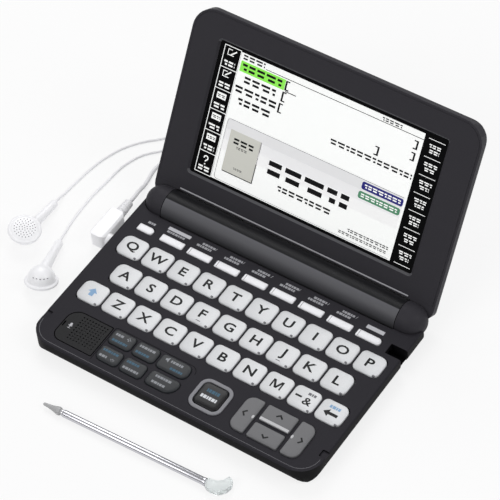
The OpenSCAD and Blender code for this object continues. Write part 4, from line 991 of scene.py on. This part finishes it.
class DICTIONARY_OT_deck_details(DictionaryPiece, bpy.types.Operator):
    """Dress the grille and add the grooves as dark lines of painted shadow, a painted glint round the deck's front
    corners, and the print on the deck
    """

    bl_idname = "dictionary.deck_details"
    bl_label = "Deck details"

    def execute(self, context):
        grille = moulded("grille black", (0.16, 0.16, 0.165), 0.5, spread=0.06, grain=0.3, mirror=0.08)
        part = softened("speaker_grille", 0.05, 1, lambda e: False)
        finished(part, "grille_plate", grille, "base", ("speaker_grille",), 30)
        grooves = bmesh.new()
        rim = rounded(*GRILLE, (0.6, 6, 4.5, 0.6), (3, 8, 6, 3))
        pour(grooves, line(rim, 0.36, DECK_Z - THIN, DECK_Z + 0.014, closed=True))
        border = [(-41.75, -47), (-41.75, -28.5)] + arc(-40.25, -28.5, 1.5, 180, 90, 4)
        border += [(-1.2, -27)] + arc(-1.2, -30.6, 3.6, 90, 0, 6)
        pour(grooves, line(border, 0.25, DECK_Z - THIN, DECK_Z + 0.012))
        front = arc(-63.25, -39.75, 9.3, 180, 270) + arc(63.25, -39.75, 9.3, 270, 360)
        glint = line(front, 0.16, DECK_Z - THIN, DECK_Z + 0.012)
        bars, bright = self.labels()
        for bm, name, material in (
            (grooves, "deck_groove", moulded("groove shadow", (0.02, 0.02, 0.022), 0.9, mirror=0.02)),
            (glint, "deck_edge_glint", moulded("edge glint", (0.4, 0.4, 0.42), 0.5)),
            (bars, "deck_print", moulded("light print", colours().print, 0.6, spread=0.04)),
            (bright, "deck_signs", moulded("bright print", (0.74, 0.74, 0.76), 0.6, spread=0.04, mirror=0.2)),
        ):
            finished(bm, name, material, "base")
        return {"FINISHED"}

    def labels(self):
        """Bars in place of the words on the deck, and the sign of the microphone."""
        bars, bright = bmesh.new(), bmesh.new()
        low, z, high = DECK_Z - THIN, DECK_Z, DECK_Z + THIN
        for i in range(1, 7):
            x = FUNCTION_X + i * FUNCTION_PITCH
            for row, (start, end) in enumerate(((-2.6, 4.2), (-4.6, 3.1))):
                dashes(bars, x + start, x + end, 31.6 - row * 1.7, 1.15, z, i + row)
            pour(bars, line([(x + 4.5, 30.9), (x + 5.1, 32.3)], 0.22, low, high))
        dashes(bars, -64.4, -60.6, 29.4, 1.2, z, 2)
        dashes(bars, -54, -44.6, 29.4, 1.1, z, 5)
        x, y = MICROPHONE[0] + 3.2, MICROPHONE[1] + 0.4
        for at, size, r in (
            ((-48.5, 31.325), (12, 1.75), 0.2), ((56.05, 30.2), (8.9, 2), 0.2), ((x, y + 0.5), (1.1, 1.9), 0.54),
        ):
            pour(bright, cap(at, size, (r,) * 4, z - 0.05, high, 0, 0))
        pour(bright, line(arc(x, y + 0.5, 1.1, 200, 340, 8), 0.22, low, high))
        slab(bright, (x - 0.12, y - 1.5, low), (x + 0.12, y - 0.6, high))
        slab(bright, (x - 0.7, y - 1.65, low), (x + 0.7, y - 1.45, high))
        return bars, bright


class DICTIONARY_OT_lid(DictionaryPiece, bpy.types.Operator):
    """Dress the lid's shells and its ears, with a painted highlight on the window's chamfer and the bright strip as a
    painted highlight
    """

    bl_idname = "dictionary.lid"
    bl_label = "Lid"

    def execute(self, context):
        charcoal = moulded("lid charcoal", colours().lid, 0.5, spread=0.04, grain=0.35, grain_size=0.22, mirror=0.08)
        back = softened("lid_back_cover", 0.3, 3, self.outer)
        finished(back, "lid_back", charcoal, "lid", ("lid_back_cover",), 30, True)
        front = softened("lid_bezel", 0.9, 1, self.window)
        # faces of the window's chamfer take the second slot: a lighter grey, as a painted highlight
        for face in front.faces:
            middle = self.in_lid(face.calc_center_median())
            face.material_index = int(self.by_window(middle) and GLASS_Z < middle.z < LID_FRONT - 0.05)
        lid_front = finished(front, "lid_front", charcoal, "lid", ("lid_bezel",), 30)
        # painted highlight on the window's chamfer
        chamfer = moulded("window chamfer", (0.33, 0.33, 0.345), 0.45, spread=0.04, grain=0.2, mirror=0.2)
        lid_front.data.materials.append(chamfer)
        # the bright strip along the lid's lower edge is a painted highlight
        dress(["lid_trim_strip"], moulded("bright strip", (0.72, 0.72, 0.74), 0.3))
        return {"FINISHED"}

    def in_lid(self, point):
        return (IN_LID.inverted() @ point) / MM

    def by_window(self, p):
        return abs(p.x) < WINDOW_HALF and WINDOW_LOW < p.y < WINDOW_HIGH

    def on_front(self, e):
        """Ends of an edge that lies on the lid's front, in the lid's own millimetres."""
        ends = [self.in_lid(v.co) for v in e.verts]
        return ends if all(abs(p.z - LID_FRONT) < 0.02 for p in ends) else None

    def outer(self, e):
        ends = self.on_front(e)
        return ends and (max(abs(p.x) for p in ends) > 62.5 or min(p.y for p in ends) > 60)

    def window(self, e):
        ends = self.on_front(e)
        return ends and all(map(self.by_window, ends))


# what the display shows: colour and own light of each tone
DISPLAY = {
    "white": ((0.95, 0.955, 0.95), 0.35),
    "ink": ((0.07, 0.07, 0.08), 0),
    "pale": ((0.885, 0.885, 0.89), 0.25),
    "paler": ((0.915, 0.915, 0.92), 0.27),
    "palest": ((0.94, 0.94, 0.94), 0.3),
    "rule": ((0.6, 0.6, 0.61), 0),
    "card": ((0.8, 0.8, 0.77), 0.22),
    "shade": ((0.36, 0.36, 0.36), 0),
    "blue": ((0.18, 0.18, 0.5), 0.1),
    "green": ((0.35, 0.58, 0.45), 0.1),
}


class DICTIONARY_OT_screen(DictionaryPiece, bpy.types.Operator):
    """Add the black window and what the display shows"""

    bl_idname = "dictionary.screen"
    bl_label = "Display"

    def execute(self, context):
        glass = moulded("window black", (0.015, 0.015, 0.02), 0.12, spread=0.1, rough_spread=0.03, mirror=0.2)
        dress(["display_window"], glass)
        self.sheets = defaultdict(bmesh.new)
        self.rect("white", -47.3, 47.2, 19.7, 81.2, 1)
        self.icons()
        self.right_labels()
        self.menu()
        self.banner()
        looks = DISPLAY | {"mark": (colours().mark, 0.2)}
        for name, bm in self.sheets.items():
            colour, glow = looks[name]
            tone = moulded("display " + name, colour, 0.3, spread=0.015, mirror=0.15, glow=glow)
            finished(placed(bm, IN_LID), "display_" + name, tone, "lid")
        return {"FINISHED"}

    def rect(self, name, x0, x1, v0, v1, layer):
        slab(self.sheets[name], (x0, v0, SHEET_LOW), (x1, v1, GLASS_Z + THIN * layer))

    def stroke(self, name, points, width, layer=1):
        pour(self.sheets[name], line(points, width, SHEET_LOW, GLASS_Z + THIN * layer))

    def tag(self, name, x0, x1, v0, v1):
        outline = rounded(((x0 + x1) / 2, (v0 + v1) / 2), (x1 - x0, v1 - v0), (1,) * 4, (4,) * 4)
        plate(self.sheets[name], outline, SHEET_LOW, GLASS_Z + 3 * THIN)

    def words(self, name, x0, x1, v, height, layer, seed):
        """Units of two stacked bars of uneven width in place of writing."""
        x, i = x0, seed
        while x < x1 - 0.3:
            wide = min(height * (0.8 + 0.25 * (i * 5 % 4)), x1 - x)
            share = 0.62 + 0.12 * (i * 3 % 4)
            for low, high, start, end in ((0.14, 0.5, 0, 1), (-0.5, -0.14, 1 - share, 1)):
                self.rect(name, x + start * wide, x + end * wide, v + low * height, v + high * height, layer)
            x += wide + height * 0.3
            i += 1

    def icons(self):
        left, right = -56.2, -47.6
        marks = [81.5, 71.2, 60.9, 50.65, 40.35, 30.1, 19.7]
        for v in marks:
            self.rect("white", left, right, v - 0.17, v + 0.17, 1)
        for x in (left, right):
            self.rect("white", x - 0.17, x + 0.17, marks[-1], marks[0], 1)
        for i, (high, low) in enumerate(zip(marks, marks[1:])):
            mid = (high + low) / 2
            self.words("white", -54.9, -49.2, mid - 2.8, 2.2, 1, i)
            if i < 2:
                for x1, v0, v1 in ((-50.8, 1.0, 1.35), (-53.85, 1.0, 3.9), (-52, 3.6, 3.95)):
                    self.rect("white", -54.2, x1, mid + v0, mid + v1, 1)
                self.stroke("white", [(-52.6, mid + 1.6), (-49.9, mid + 3.9)], 0.6)
            elif i < 5:
                self.rect("white", -54.4, -49.6, mid + 0.7, mid + 3.6, 1)
                self.words("ink", -54, -50, mid + 2.1, 1.2, 2, i)
            else:
                self.stroke("white", arc(-52, mid + 2.3, 1.3, 190, -60, 10) + [(-52, mid + 0.4)], 0.55)
                self.rect("white", -52.3, -51.7, mid - 0.9, mid - 0.3, 1)

    def right_labels(self):
        rows = [80, 71.6, 63, 54.4, 45.9, 37.3, 28.7, 20.2]
        for v in rows:
            self.rect("white", 49.2, 57.4, v - 0.13, v + 0.13, 1)
        for i, (high, low) in enumerate(zip(rows, rows[1:])):
            mid = (high + low) / 2
            self.words("white", 50.3, 56.6, mid + 1.2, 1.5, 1, i)
            self.words("white", 51, 55.8, mid - 1.2, 1.5, 1, i + 1)

    def menu(self):
        self.rect("ink", -33.8, 47.2, 78.1, 78.4, 2)
        self.rect("mark", -46.5, -23, 72.6, 77.6, 2)
        for row in (
            (-46, -34.6, 79.5, 2.2, 2, 1), (26, 36, 79.6, 1.5, 2, 0), (-45.4, -24.2, 75.1, 3.1, 3, 0),
            (-43, -26.5, 69.7, 3, 2, 1), (-46.5, -24.6, 64.4, 3, 2, 2), (-43.6, -25.6, 59.2, 3, 2, 0),
        ):
            self.words("ink", *row)
        for x, high, low, way in ((-22.4, 77.4, 72.8, 1), (-22.9, 72, 67.3, 1), (-23.2, 66.4, 61.8, 1),
                                  (44.9, 76.6, 72.4, -1), (44.9, 71, 67, -1), (28, 66.7, 62.4, -1)):
            self.rect("ink", x - 0.45, x + 0.45, low, high, 2)
            for v in (high - 0.6, low):
                self.rect("ink", min(x, x + 1.7 * way), max(x, x + 1.7 * way), v, v + 0.6, 2)
        self.rect("ink", -22.2, -16.5, 72.2, 72.6, 2)
        self.words("ink", 5, 46.5, 60, 2.3, 2, 2)

    def banner(self):
        for i, name in enumerate(("pale", "paler", "palest")):
            self.rect(name, -46, 46, 44.6 - 5 * i, 49.8 - 5 * i, 2)
        for x0, x1, v0, v1 in ((-44.5, 46, 49.7, 49.95), (-46.1, -45.85, 21.4, 48.4), (-44.8, 46, 20.1, 20.3)):
            self.rect("rule", x0, x1, v0, v1, 2)
        for start, v in ((90, 48.4), (180, 21.6)):
            self.stroke("rule", arc(-44.5, v, 1.5, start, start + 90, 5), 0.25, 2)
        self.rect("shade", -43, -26.7, 24.9, 45.3, 2)
        self.rect("card", -43.2, -27.2, 25.4, 45.4, 3)
        self.tag("blue", 25, 46, 45.4, 49)
        self.tag("green", 24.4, 45.6, 40.9, 44.3)
        for row in (
            ("ink", -40.6, -30.2, 40.8, 2.6, 4, 1), ("shade", -38.6, -32.4, 38, 1, 4, 0),
            ("shade", -37.6, -33, 28.2, 0.8, 4, 0), ("ink", -21, 21, 36.2, 6.4, 3, 1),
            ("ink", -14, 14, 28.6, 2.4, 3, 0), ("white", 26.4, 44.8, 47.2, 1.7, 4, 0),
            ("white", 25.8, 44.4, 42.6, 1.6, 4, 1),
            ("shade", 24, 45, 24.6, 1.4, 3, 0), ("shade", 20, 45, 22.4, 1.2, 3, 1),
        ):
            self.words(*row)


class DICTIONARY_OT_stylus(DictionaryPiece, bpy.types.Operator):
    """Build the stylus that lies in front"""

    bl_idname = "dictionary.stylus"
    bl_label = "Stylus"

    def execute(self, context):
        lie = shift(-48.6, -73.1, GROUND + 1.95) @ turn(1.95, "Z") @ turn(90, "Y")
        tip = turned([(0, 0), (0.4, 0.04), (0.62, 0.25), (0.72, 0.7), (0.85, 2.4), (1.15, 4.6), (1.6, 6.6), (1.85, 7.4),
                      (1.94, 8), (1.9, 8.6), (1.7, 8.95), (1.35, 9.05), (1.3, 9.9), (0, 9.9)])
        grey = moulded("stylus grey", (0.68, 0.68, 0.685), 0.4, grain=0.1)
        finished(placed(tip, lie), "stylus_tip", grey, "stylus", ("stylus_point",), 30)
        tube = turned([(0, 9.9), (1.45, 9.9), (1.45, 10.5), (1.62, 10.55), (1.72, 10.7), (1.75, 11), (1.75, 81.9),
                       (1.66, 82.1), (1.66, 82.3), (1.88, 82.4), (1.9, 82.5), (1.9, 83.4), (1.8, 83.6), (1.3, 83.7),
                       (0, 83.7)])
        chrome = moulded("stylus chrome", (0.78, 0.78, 0.8), 0.24, spread=0.03, metallic=1, rough_spread=0.04)
        finished(placed(tube, lie), "stylus_barrel", chrome, "stylus", ("stylus_tube",), 30)
        clear = moulded("clear plastic", (0.93, 0.95, 0.95), 0.3, spread=0.01, transmission=0.55, rough_spread=0.04)
        clip = softened("stylus_hook", 0.5, 4, least=20)
        finished(clip, "stylus_clip", clear, "stylus", ("stylus_hook",), 40)
        return {"FINISHED"}


class DICTIONARY_OT_inside(DictionaryPiece, bpy.types.Operator):
    """Dress what the shells hold"""

    bl_idname = "dictionary.inside"
    bl_label = "Inner parts"

    def execute(self, context):
        dress(["stylus_sleeve"], case_finish())
        for nodes, name, colour, rough, look in (
            ("main_board", "board green", (0.1, 0.38, 0.22), 0.4, dict(spread=0.25, cloud=400, coat=0.3)),
            ("keypad_sheets", "keypad silicone", (0.74, 0.74, 0.71), 0.6, dict(grain=0.2)),
            ("battery_cells", "cell jacket", (0.7, 0.62, 0.3), 0.3, dict(spread=0.1, metallic=0.8)),
            ("battery_contacts", "contact plate", (0.75, 0.75, 0.76), 0.3, dict(metallic=1)),
            ("speaker microphone", "speaker can", (0.4, 0.4, 0.42), 0.5, dict(spread=0.1, grain=0.2)),
            ("earphone_jack", "inner black", (0.08, 0.08, 0.085), 0.6, dict(spread=0.1, grain=0.3)),
            ("lid_cable", "cable amber", (0.72, 0.5, 0.2), 0.35, dict(spread=0.1)),
            ("lcd_panel", "panel grey", (0.7, 0.72, 0.7), 0.3, dict(spread=0.03)),
            ("backlight_tray", "tray silver", (0.7, 0.7, 0.71), 0.4, dict(metallic=0.6)),
        ):
            dress(nodes.split(), moulded(name, colour, rough, **look))
        return {"FINISHED"}


class DICTIONARY_PT_pieces(bpy.types.Panel):
    bl_idname = "DICTIONARY_PT_pieces"
    bl_label = "Pocket dictionary"
    bl_space_type = "VIEW_3D"
    bl_region_type = "UI"
    bl_category = "Dictionary"

    def draw(self, context):
        column = self.layout.column(align=True)
        for piece in OPERATORS:
            column.operator(piece.bl_idname)
        for settings in (context.scene.dictionary_colours, context.scene.dictionary_sizes):
            box = self.layout.box()
            for name in settings.__annotations__:
                box.prop(settings, name)


OPERATORS = (
    DICTIONARY_OT_stage,
    DICTIONARY_OT_earphones,
    DICTIONARY_OT_cords,
    DICTIONARY_OT_case,
    DICTIONARY_OT_letter_keys,
    DICTIONARY_OT_small_keys,
    DICTIONARY_OT_control_keys,
    DICTIONARY_OT_deck_details,
    DICTIONARY_OT_lid,
    DICTIONARY_OT_screen,
    DICTIONARY_OT_stylus,
    DICTIONARY_OT_inside,
)
CLASSES = (DictionaryColours, DictionarySizes, *OPERATORS, DICTIONARY_PT_pieces)


def register():
    for item in CLASSES:
        bpy.utils.register_class(item)
    bpy.types.Scene.dictionary_colours = bpy.props.PointerProperty(type=DictionaryColours)
    bpy.types.Scene.dictionary_sizes = bpy.props.PointerProperty(type=DictionarySizes)


def unregister():
    del bpy.types.Scene.dictionary_sizes
    del bpy.types.Scene.dictionary_colours
    for item in reversed(CLASSES):
        bpy.utils.unregister_class(item)


def main():
    register()
    for piece in OPERATORS:
        group, name = piece.bl_idname.split(".")
        getattr(getattr(bpy.ops, group), name)()
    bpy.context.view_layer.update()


if __name__ == "__main__":
    main()
